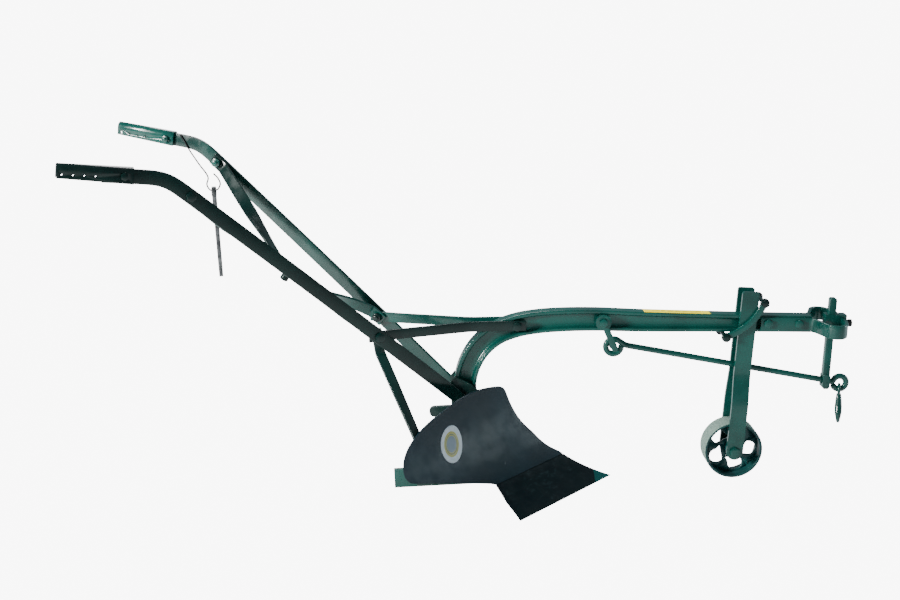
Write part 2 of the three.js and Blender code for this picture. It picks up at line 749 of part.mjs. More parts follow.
function makeBrace(side, name, depthAtCross) {
  const top = besideHandle(side, upperBoltX, firstInner);
  const bottomStack = firstInner - stackStep * (midStack[-side] - 1);
  const bottom = besideHandle(-side, midBoltX, bottomStack);
  const middle = crossPoint.clone().addScaledVector(crossFace, depthAtCross);
  const topFace = handleFace(side).negate();
  const bottomFace = handleFace(-side);
  const flatten = (way, face) => way.clone().projectOnPlane(face).normalize();
  const topWay = flatten(middle.clone().sub(top), topFace);
  const bottomWay = flatten(bottom.clone().sub(middle), bottomFace);
  const middleWay = flatten(bottom.clone().sub(top), crossFace);
  const step = (at, way, length) => at.clone().addScaledVector(way, length);
  const stations = [
    { at: step(top, topWay, -15), face: topFace },
    ...twist(step(top, topWay, 17), step(middle, middleWay, -27), topFace, crossFace, 8),
    ...twist(step(middle, middleWay, 27), step(bottom, bottomWay, -19), crossFace, bottomFace, 8),
    { at: step(bottom, bottomWay, 15), face: bottomFace },
  ];
  const bar = ribbon(stations.map(({ at }) => at), (i) => stations[i].face, braceWidth, stayThickness);
  addPiece(name, drill(bar, upperNames[side], midNames[-side], 'brace_bolt'), paint);
}

function makeBoardStay() {
  const top = besideHandle(rightSide, midBoltX, firstInner - stackStep);
  const down = vec(0.12 * Math.cos(splayTurn), 0.12 * Math.sin(splayTurn), -1).normalize();
  const topFace = handleFace(rightSide);
  const { point, angle } = onBoard(...boardStayBolt);
  const bottomFace = boardNormal(angle);
  const bottom = point.clone().addScaledVector(bottomFace, -(boardThickness + gap + stayThickness / 2));
  const bottomDown = backWay.clone().multiplyScalar(-Math.cos(angle)).setZ(-Math.sin(angle));
  const step = (at, way, length) => at.clone().addScaledVector(way, length);
  const stations = [
    { at: step(top, down, -15), face: topFace },
    ...twist(step(top, down, 42), step(bottom, bottomDown, -24), topFace, bottomFace, 8),
    { at: step(bottom, bottomDown, 15), face: bottomFace },
  ];
  const bar = ribbon(stations.map(({ at }) => at), (i) => stations[i].face, stayWidth, stayThickness);
  addPiece('mouldboard_stay', drill(bar, midNames[rightSide], 'board_stay_bolt'), paint);
}

// Gauge wheel

function makeWheel() {
  const ring = (inner, outer, half) => {
    const profile = [[inner, -half], [outer, -half], [outer, half], [inner, half], [inner, -half]];
    const points = profile.map(([r, y]) => new THREE.Vector2(r, y));
    return solid(new THREE.LatheGeometry(points, 36));
  };
  const rim = ring(wheelRadius - wheelRim, wheelRadius, wheelWidth / 2);
  const web = ring(axleRadius + holeGap, wheelRadius - wheelRim / 2, wheelWeb / 2);
  const hub = ring(axleRadius + holeGap, hubRadius, armInnerLow - hubSideGap);
  const reach = wheelRadius - wheelRim;
  const round = reach * 0.27;
  const centre = (reach + hubRadius) * 0.53;
  const windows = [];
  for (let i = 0; i < wheelWindows; i += 1) {
    const low = [[-round, centre - round * 0.4], [round * 1.15, centre - round * 1.2]];
    const outline = [...arc(0, centre, round, -25, 180, 14), ...low];
    const window = plate(outline, -wheelWidth, wheelWidth);
    windows.push(window.rotate([0, 360 * i / wheelWindows + windowTurn, 0]));
  }
  const body = cut(join(rim, web), ...windows).add(hub);
  addPiece('wheel', body.translate([wheelCentre.x, wheelCentre.y, wheelCentre.z]), wornPaint);
}

function alongArm(distance, y) {
  return wheelCentre.clone().addScaledVector(armWay, distance).setY(y);
}

function makeArm(side, name) {
  const low = side * (armInnerLow + armThickness / 2);
  const high = side * (armInnerHigh + armThickness / 2);
  const path = [
    alongArm(-40, low), alongArm(armSplayLow, low), alongArm(armSplayHigh, high), alongArm(armTop, high),
  ];
  const bar = ribbon(path, () => vec(0, side, 0), armWidth + 20, armThickness);
  const half = armWidth / 2;
  const across = [armWay.z, -armWay.x];
  const at = (distance, sideways) => {
    const centre = alongArm(distance, 0);
    return [centre.x + across[0] * sideways, centre.z + across[1] * sideways];
  };
  const bottom = arc(wheelX, wheelRadius, half, 180 - armLean, 360 - armLean, 12);
  const outline = [...bottom, at(armTop - 5, half), at(armTop, half - 5), at(armTop, 5 - half), at(armTop - 5, -half)];
  const body = bar.intersect(plate(outline, -100, 100));
  addPiece(name, drill(body, 'axle_bolt'), paint);
}

function makeClampBow(side, name) {
  const curve = new THREE.CatmullRomCurve3(bowLine.map(([x, z]) => vec(x, 0, z)));
  const middle = side * (bowInner + bowThickness / 2);
  const path = curve.getPoints(14).map((point) => point.setY(middle));
  const strap = ribbon(path, () => vec(0, side, 0), bowWidth, bowThickness);
  const ends = [bowLine[0], bowLine[bowLine.length - 1]];
  const bosses = ends.map(([x, z]) => crossBar(x, z, side * bowInner, side * bowOuter, bowBoss, 16));
  addPiece(name, drill(join(strap, ...bosses), 'clamp_bolt_upper', 'clamp_bolt_lower'), paint);
}

// Hake, slider, regulator and set screw, built in the tilted frame of the beam's nose

function makeHake() {
  const legY = hakeInner + hakeThickness / 2;
  const half = [[hakeLegStart, legY], [hakeLegEnd, legY], ...hakeBend, ...hakeStraight];
  const whole = [...half, ...half.slice(0, -1).reverse().map(([u, v]) => [u, -v])];
  const path = whole.map(([u, v]) => vec(u, v, 0));
  const faceAt = (i) => {
    const before = path[Math.max(i - 1, 0)];
    const after = path[Math.min(i + 1, path.length - 1)];
    return after.clone().sub(before).cross(vec(0, 0, 1)).normalize();
  };
  const strap = ribbon(path, faceAt, hakeHeight, hakeThickness);
  const inverse = front.matrixWorld.clone().invert();
  const holes = ['hake_bolt_1', 'hake_bolt_2'].map((name) => {
    const { headFace, nutFace, radius } = bolts.get(name);
    const from = nutFace.clone().applyMatrix4(inverse).setY(hakeInner + 20);
    return roundBar(from, headFace.clone().applyMatrix4(inverse).setY(-hakeInner - 20), radius + holeGap);
  });
  addPiece('hake', cut(strap, ...holes), paint, front);
}

const strapInside = hakeFront - hakeThickness / 2;
const strapOutside = hakeFront + hakeThickness / 2;
const bridgeLow = hakeHeight / 2 + slideGap;
const bridgeHigh = bridgeLow + bridgeThickness;
const jawInner = strapOutside + slideGap;
const jawOuter = jawInner + jawThickness;

function makeSlider() {
  const rear = regulatorU - regulatorSize / 2 - 8;
  const wide = sliderHalfWidth;
  const block = box([rear, -wide, -13], [strapInside - slideGap, wide, bridgeHigh]);
  const bridge = box([strapInside - 4, -wide, bridgeLow], [jawOuter, wide, bridgeHigh]);
  const jaw = box([jawInner, -wide, -9], [jawOuter, wide, bridgeHigh]);
  const barHalf = regulatorSize / 2 + slideGap;
  const barHole = box([regulatorU - barHalf, -barHalf, -40], [regulatorU + barHalf, barHalf, 40]);
  const screwHole = roundBar(vec(jawInner - 1, 0, 0), vec(jawOuter + 1, 0, 0), setScrewRadius + holeGap);
  addPiece('hitch_slider', cut(join(block, bridge, jaw), barHole, screwHole), paint, front);
}

function makeSetScrew() {
  const tip = jawOuter + setScrewEnd;
  const shank = roundBar(vec(jawInner + gap, 0, 0), vec(tip - setScrewHead / 2, 0, 0), setScrewRadius);
  const head = roundBar(vec(tip - setScrewHead, 0, 0), vec(tip, 0, 0), setScrewRadius * hexReach, 6);
  addPiece('set_screw', join(shank, head), plainSteel, front);
}

function rodPoint(x) {
  const [rearX, rearZ] = rearRing;
  const [endX, endZ] = frontRing;
  const startZ = rearZ + rodAboveRing;
  return vec(x, 0, startZ + (endZ - startZ) * (x - rearX) / (endX - rearX));
}

function makeRegulator() {
  const half = regulatorSize / 2;
  const corner = 3;
  const [rear, fore] = [regulatorU - half, regulatorU + half];
  const outline = [
    [fore, bossW], [fore, regulatorTop - corner], [fore - corner, regulatorTop],
    [rear + corner, regulatorTop], [rear, regulatorTop - corner], [rear, bossW],
  ];
  const bar = plate(outline, -half, half);
  const [long, wide, tall] = regulatorBoss;
  const chamfer = 4;
  const [u, w] = [long / 2, tall / 2];
  const bossOutline = [
    [u - chamfer, -w], [u, chamfer - w], [u, w - chamfer], [u - chamfer, w],
    [chamfer - u, w], [-u, w - chamfer], [-u, chamfer - w], [chamfer - u, -w],
  ].map(([a, b]) => [a + regulatorU, b + bossW]);
  const boss = plate(bossOutline, -wide / 2, wide / 2);
  const inverse = front.matrixWorld.clone().invert();
  const from = rodPoint(hakeX + 20).applyMatrix4(inverse);
  const to = rodPoint(frontRing[0]).applyMatrix4(inverse);
  addPiece('regulator_bar', cut(join(bar, boss), roundBar(from, to, rodHole, 16)), paint, front);
}

// Draft rod, drop link and hook

function ringXZ(x, z, radius, wire, y = 0) {
  const geometry = new THREE.TorusGeometry(radius, wire, 8, 20);
  geometry.rotateX(Math.PI / 2);
  geometry.translate(x, y, z);
  return solid(geometry);
}

function makeDraftRod() {
  const [rearX] = rearRing;
  const [frontX] = frontRing;
  const rear = ringXZ(...rearRing, rearRingRadius, rodRadius);
  const eye = ringXZ(...frontRing, frontRingRadius, rodRadius);
  const bar = roundBar(rodPoint(rearX + rearRingRadius * 0.9), rodPoint(frontX - frontRingRadius), rodRadius);
  addPiece('draft_rod', join(rear, eye, bar), paint);
}

function makeDropLink() {
  const inner = -(beamWidth / 2 + slideGap);
  const outer = -dropOuterY;
  const [ringX, ringZ] = rearRing;
  const top = vec(dropX, 0, dropZ);
  const bottom = vec(ringX, 0, ringZ);
  const way = bottom.clone().sub(top).normalize();
  const side = [way.z * 7, -way.x * 7];
  const strip = [
    [top.x + side[0], top.z + side[1]], [bottom.x + side[0], bottom.z + side[1]],
    [bottom.x - side[0], bottom.z - side[1]], [top.x - side[0], top.z - side[1]],
  ];
  const eye = crossBar(dropX, dropZ, outer, inner, dropEyeRadius, 20);
  const foot = crossBar(ringX, ringZ, outer, inner, 7, 12);
  const peg = crossBar(ringX, ringZ, inner - 2, rodRadius + 4, dropPeg);
  const button = crossBar(ringX, ringZ, rodRadius + 2, rodRadius + 6, 9);
  const body = join(plate(strip, outer, inner), eye, foot, peg, button);
  addPiece('drop_link', drill(body, 'drop_link_bolt'), paint);
}

// The hook's eye goes round the wire of the front ring, and its bend is open to the left.
function makeHook() {
  const [x, ringZ] = frontRing;
  const eyeZ = ringZ - frontRingRadius;
  const eyeGeometry = new THREE.TorusGeometry(hookEyeRadius, hookWire, 8, 18);
  eyeGeometry.rotateY(Math.PI / 2);
  eyeGeometry.translate(x, 0, eyeZ);
  const eye = solid(eyeGeometry);
  const shankTop = eyeZ - hookEyeRadius;
  const shankEnd = shankTop - hookShank;
  const points = [vec(x, 0, shankTop), vec(x, -2, shankTop - 10), vec(x, -hookBend * 0.6, shankEnd + 6)];
  for (let i = 0; i <= 10; i += 1) {
    const angle = Math.PI + (Math.PI * 1.12 * i) / 10;
    points.push(vec(x, hookBend * Math.cos(angle), shankEnd - 12 + hookBend * Math.sin(angle)));
  }
  const sizes = points.map((point, i) => {
    const place = i / (points.length - 1) * (hookTaper.length - 1);
    const before = Math.min(Math.floor(place), hookTaper.length - 2);
    return hookBar * THREE.MathUtils.lerp(hookTaper[before], hookTaper[before + 1], place - before);
  });
  const hook = join(eye, taperedBar(points, sizes)).translate([-x, 0, 0]).rotate([0, 0, hookTurn]);
  addPiece('draft_hook', hook.translate([x, 0, 0]), darkPaint);
}

// Spanner and the wire that ties it to the left handle

function spannerPlaceY() {
  return handleY(spannerX) - spannerInset;
}

function makeSpanner() {
  const spannerY = spannerPlaceY();
  const pivotDrop = spannerHole - wireRadius - 3 * gap;
  const eyeZ = spannerPivotZ - pivotDrop;
  const tip = spannerPivotZ - spannerLength;
  const outline = [
    ...arc(0, eyeZ, spannerEye, -60, 240, 20),
    [-5.5, eyeZ - 60], [-4.5, tip + 40], [-2, tip + 2], [0, tip], [2, tip + 2], [4.5, tip + 40], [5.5, eyeZ - 60],
  ];
  const depth = spannerThickness;
  const geometry = new THREE.ExtrudeGeometry(shapeOf(outline), { depth, bevelEnabled: false });
  const frame = new THREE.Matrix4().makeBasis(vec(0, 1, 0), vec(0, 0, 1), vec(1, 0, 0));
  geometry.applyMatrix4(frame.setPosition(spannerX - depth / 2, spannerY, 0));
  const hole = roundBar(vec(spannerX - 20, spannerY, eyeZ), vec(spannerX + 20, spannerY, eyeZ), spannerHole);
  addPiece('spanner', cut(solid(geometry), hole), plainSteel);
}

function makeTieWire() {
  const inset = handleThickness / 2 + gap + wireRadius;
  const inner = (x, up) => besideHandle(leftSide, x, -inset).setZ(handleZ(x) + up);
  const low = spannerPivotZ;
  const y = spannerPlaceY();
  const last = inner(-673, -18);
  const loopStart = vec(-633, y + 7, low + 30);
  const points = [
    inner(-692, 14), inner(-683, 0), last, last.clone().lerp(loopStart, 0.5), loopStart,
    vec(-636, y, low + 14), vec(-629, y, low + 1), vec(spannerX, y, low),
    vec(-612, y, low + 2), vec(-605, y, low + 15), vec(-610, y + 1, low + 29), vec(-619, y + 3, low + 39),
  ];
  const curve = new THREE.CatmullRomCurve3(points, false, 'centripetal');
  const section = new THREE.Shape().absarc(0, 0, wireRadius, 0, Math.PI * 2);
  const options = { extrudePath: curve, steps: 46, curveSegments: 4, bevelEnabled: false };
  const geometry = new THREE.ExtrudeGeometry(section, options);
  addPiece('tie_wire', solid(geometry), plainSteel);
}

makeBeam();
makeShare();
makeMouldboard();
makeLandside();
makeFrog();
makeHandle(rightSide, 'handle_right');
makeHandle(leftSide, 'handle_left');
makeGrip(rightSide, 'grip_right');
makeGrip(leftSide, 'grip_left');
makeBeamStay(rightSide, 'beam_stay_right');
makeBeamStay(leftSide, 'beam_stay_left');
makeBrace(leftSide, 'brace_upper', (stayThickness + gap) / 2);
makeBrace(rightSide, 'brace_lower', -(stayThickness + gap) / 2);
makeBoardStay();
makeWheel();
makeArm(rightSide, 'wheel_arm_right');
makeArm(leftSide, 'wheel_arm_left');
makeClampBow(rightSide, 'clamp_bow_right');
makeClampBow(leftSide, 'clamp_bow_left');
makeHake();
makeSlider();
makeSetScrew();
makeRegulator();
makeDropLink();
makeDraftRod();
makeHook();
makeSpanner();
makeTieWire();
for (const [name, bolt] of bolts) {
  addPiece(name, boltSolid(bolt), darkPaint);
}

// The origin is under the middle of the plow, on the ground it stands on.
const bounds = new THREE.Box3().setFromObject(plow);
const middle = bounds.getCenter(new THREE.Vector3());
plow.position.set(-middle.x, -middle.y, -bounds.min.z);

export default plow;
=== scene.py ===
import math

import bmesh
import bpy
import numpy as np
from mathutils import Matrix, Vector


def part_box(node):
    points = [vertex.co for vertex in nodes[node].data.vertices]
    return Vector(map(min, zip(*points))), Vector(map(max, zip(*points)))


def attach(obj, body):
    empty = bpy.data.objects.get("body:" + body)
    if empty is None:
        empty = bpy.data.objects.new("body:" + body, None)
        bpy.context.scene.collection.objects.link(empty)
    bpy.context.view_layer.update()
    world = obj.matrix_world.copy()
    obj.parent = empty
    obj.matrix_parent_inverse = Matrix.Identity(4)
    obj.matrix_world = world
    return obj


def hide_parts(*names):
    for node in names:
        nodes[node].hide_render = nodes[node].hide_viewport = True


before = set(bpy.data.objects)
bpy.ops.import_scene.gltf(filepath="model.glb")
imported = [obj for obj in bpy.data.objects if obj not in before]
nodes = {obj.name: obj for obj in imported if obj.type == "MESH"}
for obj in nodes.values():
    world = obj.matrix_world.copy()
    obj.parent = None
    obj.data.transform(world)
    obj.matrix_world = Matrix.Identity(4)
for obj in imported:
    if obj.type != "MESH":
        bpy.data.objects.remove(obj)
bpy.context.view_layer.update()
print("frame loaded,", len(nodes), "nodes")

# Sizes below are millimetres in the part's own coordinates, where the wheel's axle stands at axleX.
# The shift carries them to this frame.
axleX = 557
wheelLow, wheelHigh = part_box("wheel")
frameShift = np.array([(wheelLow.x + wheelHigh.x) * 500 - axleX, 0, 0])
sides = [(-1, "right"), (1, "left")]


def unit(vectors):
    return vectors / np.linalg.norm(vectors, axis=-1, keepdims=True)


def eased(share):
    # A share from 0 to 1 that starts and ends level: share * share * (3 - 2 * share).
    return share * share * (3 - 2 * share)


def roundedEnd(fromEnd, reach, least):
    # The size near an end: sqrt(1 - (1 - distance / reach)^2) within reach of it, never under sqrt(least).
    return np.sqrt(np.clip(1 - np.clip(1 - fromEnd / reach, 0, 1)**2, least, 1))


def arcLine(x, z, radius, start, end, count):
    # Points on a circle: centre + radius * (cos, sin), from the start angle to the end one in degrees.
    angle = np.radians(np.linspace(start, end, count))
    return np.stack([x + radius * np.cos(angle), z + radius * np.sin(angle)], -1)


def evenly(line, count):
    # The same line with its points spaced evenly: each coordinate read off at equal steps of length.
    line = np.asarray(line, float)
    run = np.concatenate([[0], np.cumsum(np.linalg.norm(np.diff(line, axis=0), axis=1))])
    at = np.linspace(0, run[-1], count)
    return np.stack([np.interp(at, run, line[:, k]) for k in range(line.shape[1])], -1)


def throughPoints(points, count, perSpan=24):
    # A centripetal Catmull-Rom curve: each span is the cubic whose end slopes come from its neighbours,
    # with the knots a square root of the chord apart. Points are then spaced evenly.
    points = np.asarray(points, float)
    padded = np.vstack([2 * points[0] - points[1], points, 2 * points[-1] - points[-2]])
    spans = len(points) - 1
    k = np.append(np.repeat(np.arange(spans), perSpan), spans - 1)
    t = np.append(np.tile(np.arange(perSpan) / perSpan, spans), 1.0)[:, None]
    p0, p1, p2, p3 = (padded[k + i] for i in range(4))
    spanEnds = [(p0, p1), (p1, p2), (p2, p3)]
    d0, d1, d2 = (np.sqrt(np.linalg.norm(b - a, axis=1, keepdims=True)) for a, b in spanEnds)
    m1 = ((p1 - p0) / d0 - (p2 - p0) / (d0 + d1) + (p2 - p1) / d1) * d1
    m2 = ((p2 - p1) / d1 - (p3 - p1) / (d1 + d2) + (p3 - p2) / d2) * d1
    curve = p1 + m1 * t + (3 * (p2 - p1) - 2 * m1 - m2) * t**2 + (2 * (p1 - p2) + m1 + m2) * t**3
    return evenly(curve, count)


def softened(points, count, soft):
    # A bent bar: the broken line through the points, each place moved to the mean of its neighbours
    # within soft, twice over. Straight runs stay straight, and the ends stay where they are.
    line = evenly(points, count)
    step = np.linalg.norm(np.diff(line, axis=0), axis=1).sum() / (count - 1)
    reach = max(int(soft / step / 2), 1)
    for _ in range(2):
        before = 2 * line[0] - line[reach:0:-1]
        after = 2 * line[-1] - line[-2:-reach - 2:-1]
        longer = np.vstack([before, line, after])
        sums = np.cumsum(np.vstack([np.zeros_like(longer[:1]), longer]), axis=0)
        line = (sums[2 * reach + 1:] - sums[:-2 * reach - 1]) / (2 * reach + 1)
    return line


def framesAlong(path, face, closed=False):
    # Along is the step between a point's neighbours, up is the given face square to it,
    # and across is square to both.
    along = unit(np.roll(path, -1, 0) - np.roll(path, 1, 0)) if closed else unit(np.gradient(path, axis=0))
    face = np.broadcast_to(np.asarray(face, float), path.shape)
    up = unit(face - along * (face * along).sum(-1, keepdims=True))
    return np.cross(along, up), up


def gridFaces(rows, columns, closeRows=False, closeColumns=False):
    i = np.arange(rows if closeRows else rows - 1)[:, None]
    j = np.arange(columns if closeColumns else columns - 1)[None, :]
    i2, j2 = (i + 1) % rows, (j + 1) % columns
    corners = [i * columns + j, i2 * columns + j, i2 * columns + j2, i * columns + j2]
    return np.stack(np.broadcast_arrays(*corners), -1).reshape(-1, 4).tolist()


def roundedOutline(corners, radius, steps=4):
    # Each corner becomes a short curve from one side to the next: a quadratic curve with the corner
    # as its middle handle.
    corners = np.asarray(corners, float)
    radius = np.broadcast_to(radius, (len(corners),))[:, None]
    before = corners + unit(np.roll(corners, 1, 0) - corners) * radius
    after = corners + unit(np.roll(corners, -1, 0) - corners) * radius
    t = np.linspace(0, 1, steps)[None, :, None]
    curve = (1 - t)**2 * before[:, None] + 2 * t * (1 - t) * corners[:, None] + t**2 * after[:, None]
    return curve.reshape(-1, 2)


def flatBarOutline(width, thickness, corner):
    a, b = width / 2, thickness / 2
    return roundedOutline([[a, -b], [a, b], [-a, b], [-a, -b]], corner)


def roundOutline(radius, count=20):
    angle = np.linspace(0, 2 * np.pi, count, endpoint=False)
    return np.stack([np.cos(angle), np.sin(angle)], -1) * radius


def capped(points, closed=False):
    # A tube from a grid of points, rows along it and columns round it, with a flat face on each open end.
    rows, columns = points.shape[:2]
    faces = gridFaces(rows, columns, closeRows=closed, closeColumns=True)
    if not closed:
        faces += [list(range(columns)), list(range((rows - 1) * columns, rows * columns))]
    return points.reshape(-1, 3), faces


def spread(path, across, up, outline, size=1.0):
    # A profile set at every place of a path: place + size * (across * profile x + up * profile y).
    size = np.broadcast_to(size, (len(path),))[:, None, None]
    sideways, upwards = across[:, None] * outline[None, :, :1], up[:, None] * outline[None, :, 1:]
    return path[:, None] + size * (sideways + upwards)


def carried(path, face, outline, closed=False, size=1.0):
    # A profile carried along a path, its y kept to the given face.
    across, up = framesAlong(path, face, closed)
    return capped(spread(path, across, up, outline, size), closed)


def turned(profile, centre, axis, start, count=72, closedProfile=True):
    # A profile of (radius, height) turned about an axis:
    # centre + axis * height + radius * (cos of the turn * start + sin of the turn * side).
    axis, start = unit(np.asarray(axis, float)), unit(np.asarray(start, float))
    side = np.cross(axis, start)
    angle = np.linspace(0, 2 * np.pi, count, endpoint=False)[:, None, None]
    spoke = np.cos(angle) * start + np.sin(angle) * side
    profile = np.asarray(profile, float)
    points = np.asarray(centre, float) + profile[None, :, 1:] * axis + profile[None, :, :1] * spoke
    faces = gridFaces(count, len(profile), closeRows=True, closeColumns=closedProfile)
    return points.reshape(-1, 3), faces


def turnedSolid(profile, centre, axis, start, count=36):
    # The same for a profile that begins and ends on the axis, where its rings shrink to a point.
    return turned(profile, centre, axis, start, count, closedProfile=False)


def joined(shapes):
    points, faces, offset = [], [], 0
    for shapePoints, shapeFaces in shapes:
        points.append(shapePoints)
        faces += [[v + offset for v in face] for face in shapeFaces]
        offset += len(shapePoints)
    return np.vstack(points), faces


def newObject(name, data):
    made = bpy.data.objects.new(name, data)
    bpy.context.scene.collection.objects.link(made)
    return made


def vertexPlaces(mesh):
    places = np.empty(len(mesh.vertices) * 3)
    mesh.vertices.foreach_get("co", places)
    return places.reshape(-1, 3)


def writeUv(mesh, name, values):
    # A UV map from one pair for each vertex, given to every corner that uses the vertex.
    corners = np.empty(len(mesh.loops), int)
    mesh.loops.foreach_get("vertex_index", corners)
    mesh.uv_layers.new(name=name).data.foreach_set("uv", values[corners].ravel())


def finishMesh(name, mesh, body, material, stands=(), bevel=0.0, segments=3, angle=40, slot=None):
    # Bevel is in millimetres. The mesh is already in place, so the object stays at the origin.
    mesh.materials.clear()
    mesh.materials.append(material)
    mesh.polygons.foreach_set("use_smooth", np.ones(len(mesh.polygons), bool))
    piece = newObject(name, mesh)
    if bevel:
        rounding = piece.modifiers.new("rounding", "BEVEL")
        rounding.width = bevel / 1000
        rounding.segments = segments
        rounding.limit_method = "ANGLE"
        rounding.angle_limit = math.radians(angle)
        rounding.harden_normals = True
        rounding.miter_outer = "MITER_ARC"
    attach(piece, body)
    if stands:
        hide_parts(*stands)
    return piece


def makePiece(name, shapes, body, material, stands=(), weld=0.002, **finish):
    points, faces = joined(shapes)
    mesh = bpy.data.meshes.new(name)
    mesh.from_pydata((points + frameShift) / 1000, [], faces)
    work = bmesh.new()
    work.from_mesh(mesh)
    bmesh.ops.remove_doubles(work, verts=work.verts, dist=weld / 1000)
    bmesh.ops.recalc_face_normals(work, faces=work.faces)
    work.to_mesh(mesh)
    work.free()
    return finishMesh(name, mesh, body, material, stands, **finish)


def roundedCopy(node, body, material, bevel=0.8, name=None, **finish):
    # The node's own faces, welded, with flat neighbours joined, so that its edges can be rounded.
    mesh = nodes[node].data.copy()
    work = bmesh.new()
    work.from_mesh(mesh)
    bmesh.ops.remove_doubles(work, verts=work.verts, dist=1e-5)
    bmesh.ops.dissolve_limit(work, angle_limit=math.radians(0.8), verts=work.verts, edges=work.edges)
    work.to_mesh(mesh)
    work.free()
    return finishMesh(name or node + "_piece", mesh, body, material, [node], bevel=bevel, **finish)


def linear(red, green, blue):
    # A screen colour from 0 to 255 as the light it stands for.
    c = np.array([red, green, blue]) / 255
    return tuple(np.where(c < 0.04045, c / 12.92, ((c + 0.055) / 1.055)**2.4)) + (1.0,)


def newGroup(name, inputs, outputs):
    group = bpy.data.node_groups.new(name, "ShaderNodeTree")
    for label, kind, value in inputs:
        socket = group.interface.new_socket(name=label, in_out="INPUT", socket_type=kind)
        if value is not None:
            socket.default_value = value
    for label, kind in outputs:
        group.interface.new_socket(name=label, in_out="OUTPUT", socket_type=kind)
    entry, leave = group.nodes.new("NodeGroupInput"), group.nodes.new("NodeGroupOutput")
    return group, entry, leave


def node(tree, kind, **settings):
    made = tree.nodes.new(kind)
    for key, value in settings.items():
        setattr(made, key, value)
    return made


def feed(tree, socket, source):
    # A number goes straight onto the socket, and an output is linked to it.
    if isinstance(source, bpy.types.NodeSocket):
        tree.links.new(source, socket)
    else:
        socket.default_value = source


def calc(tree, operation, a, b=0.5, clamp=False):
    made = node(tree, "ShaderNodeMath", operation=operation, use_clamp=clamp)
    feed(tree, made.inputs[0], a)
    feed(tree, made.inputs[1], b)
    return made.outputs[0]


def noise(tree, vector, scale, detail=3.0, roughness=0.5, distortion=0.0):
    made = node(tree, "ShaderNodeTexNoise")
    feed(tree, made.inputs["Vector"], vector)
    feed(tree, made.inputs["Scale"], scale)
    made.inputs["Detail"].default_value = detail
    made.inputs["Roughness"].default_value = roughness
    made.inputs["Distortion"].default_value = distortion
    return made.outputs["Fac"]


def between(tree, value, low, high, toLow=0.0, toHigh=1.0):
    # The value carried from low..high to toLow..toHigh, held at the ends, eased.
    made = node(tree, "ShaderNodeMapRange", interpolation_type="SMOOTHSTEP")
    feed(tree, made.inputs["Value"], value)
    for label, number in [("From Min", low), ("From Max", high), ("To Min", toLow), ("To Max", toHigh)]:
        feed(tree, made.inputs[label], number)
    return made.outputs["Result"]


def mixColour(tree, share, first, second):
    made = node(tree, "ShaderNodeMix", data_type="RGBA")
    feed(tree, made.inputs["Factor"], share)
    feed(tree, made.inputs["A"], first)
    feed(tree, made.inputs["B"], second)
    return made.outputs["Result"]


def makeEnamelSkin():
    # Sprayed enamel: wide soft clouds for the thickness of the coat, a fine and a broad peel for the height,
    # and small nibs.
    group, entry, leave = newGroup(
        "enamelSkin",
        [("Vector", "NodeSocketVector", None), ("Cloud Scale", "NodeSocketFloat", 9.0),
         ("Peel Scale", "NodeSocketFloat", 420.0), ("Nibs", "NodeSocketFloat", 0.3)],
        [("Depth", "NodeSocketFloat"), ("Gloss", "NodeSocketFloat"), ("Height", "NodeSocketFloat")])
    vector, peelScale = entry.outputs["Vector"], entry.outputs["Peel Scale"]
    cloud = noise(group, vector, entry.outputs["Cloud Scale"], 4.0, 0.55, 0.4)
    fine = noise(group, vector, peelScale, 2.0, 0.5)
    broad = noise(group, vector, calc(group, "MULTIPLY", peelScale, 0.12), 2.0, 0.5)
    nib = between(group, noise(group, vector, calc(group, "MULTIPLY", peelScale, 0.8), 1.0, 0.5), 0.7, 0.8)
    group.links.new(between(group, cloud, 0.32, 0.68), leave.inputs["Depth"])
    group.links.new(between(group, noise(group, vector, 38.0, 4.0, 0.6), 0.35, 0.7), leave.inputs["Gloss"])
    peel = calc(group, "ADD", calc(group, "MULTIPLY", fine, 0.35), calc(group, "MULTIPLY", broad, 0.65))
    group.links.new(calc(group, "ADD", peel, calc(group, "MULTIPLY", nib, entry.outputs["Nibs"])),
                    leave.inputs["Height"])
    return group


def makeDust():
    # Dust: thicker where the surface looks up, broken by noise at two sizes.
    group, entry, leave = newGroup(
        "dustVeil",
        [("Vector", "NodeSocketVector", None), ("Amount", "NodeSocketFloat", 0.2)],
        [("Mask", "NodeSocketFloat")])
    split = node(group, "ShaderNodeSeparateXYZ")
    group.links.new(node(group, "ShaderNodeNewGeometry").outputs["Normal"], split.inputs[0])
    upward = between(group, split.outputs["Z"], -0.2, 0.95, 0.25, 1.0)
    patch = between(group, noise(group, entry.outputs["Vector"], 14.0, 6.0, 0.65), 0.38, 0.72)
    speck = between(group, noise(group, entry.outputs["Vector"], 700.0, 2.0, 0.6), 0.62, 0.74)
    spread = calc(group, "ADD", calc(group, "MULTIPLY", patch, 0.6),
                  calc(group, "MULTIPLY", speck, 0.9), clamp=True)
    mask = calc(group, "MULTIPLY", calc(group, "MULTIPLY", spread, upward), entry.outputs["Amount"],
                clamp=True)
    group.links.new(mask, leave.inputs["Mask"])
    return group


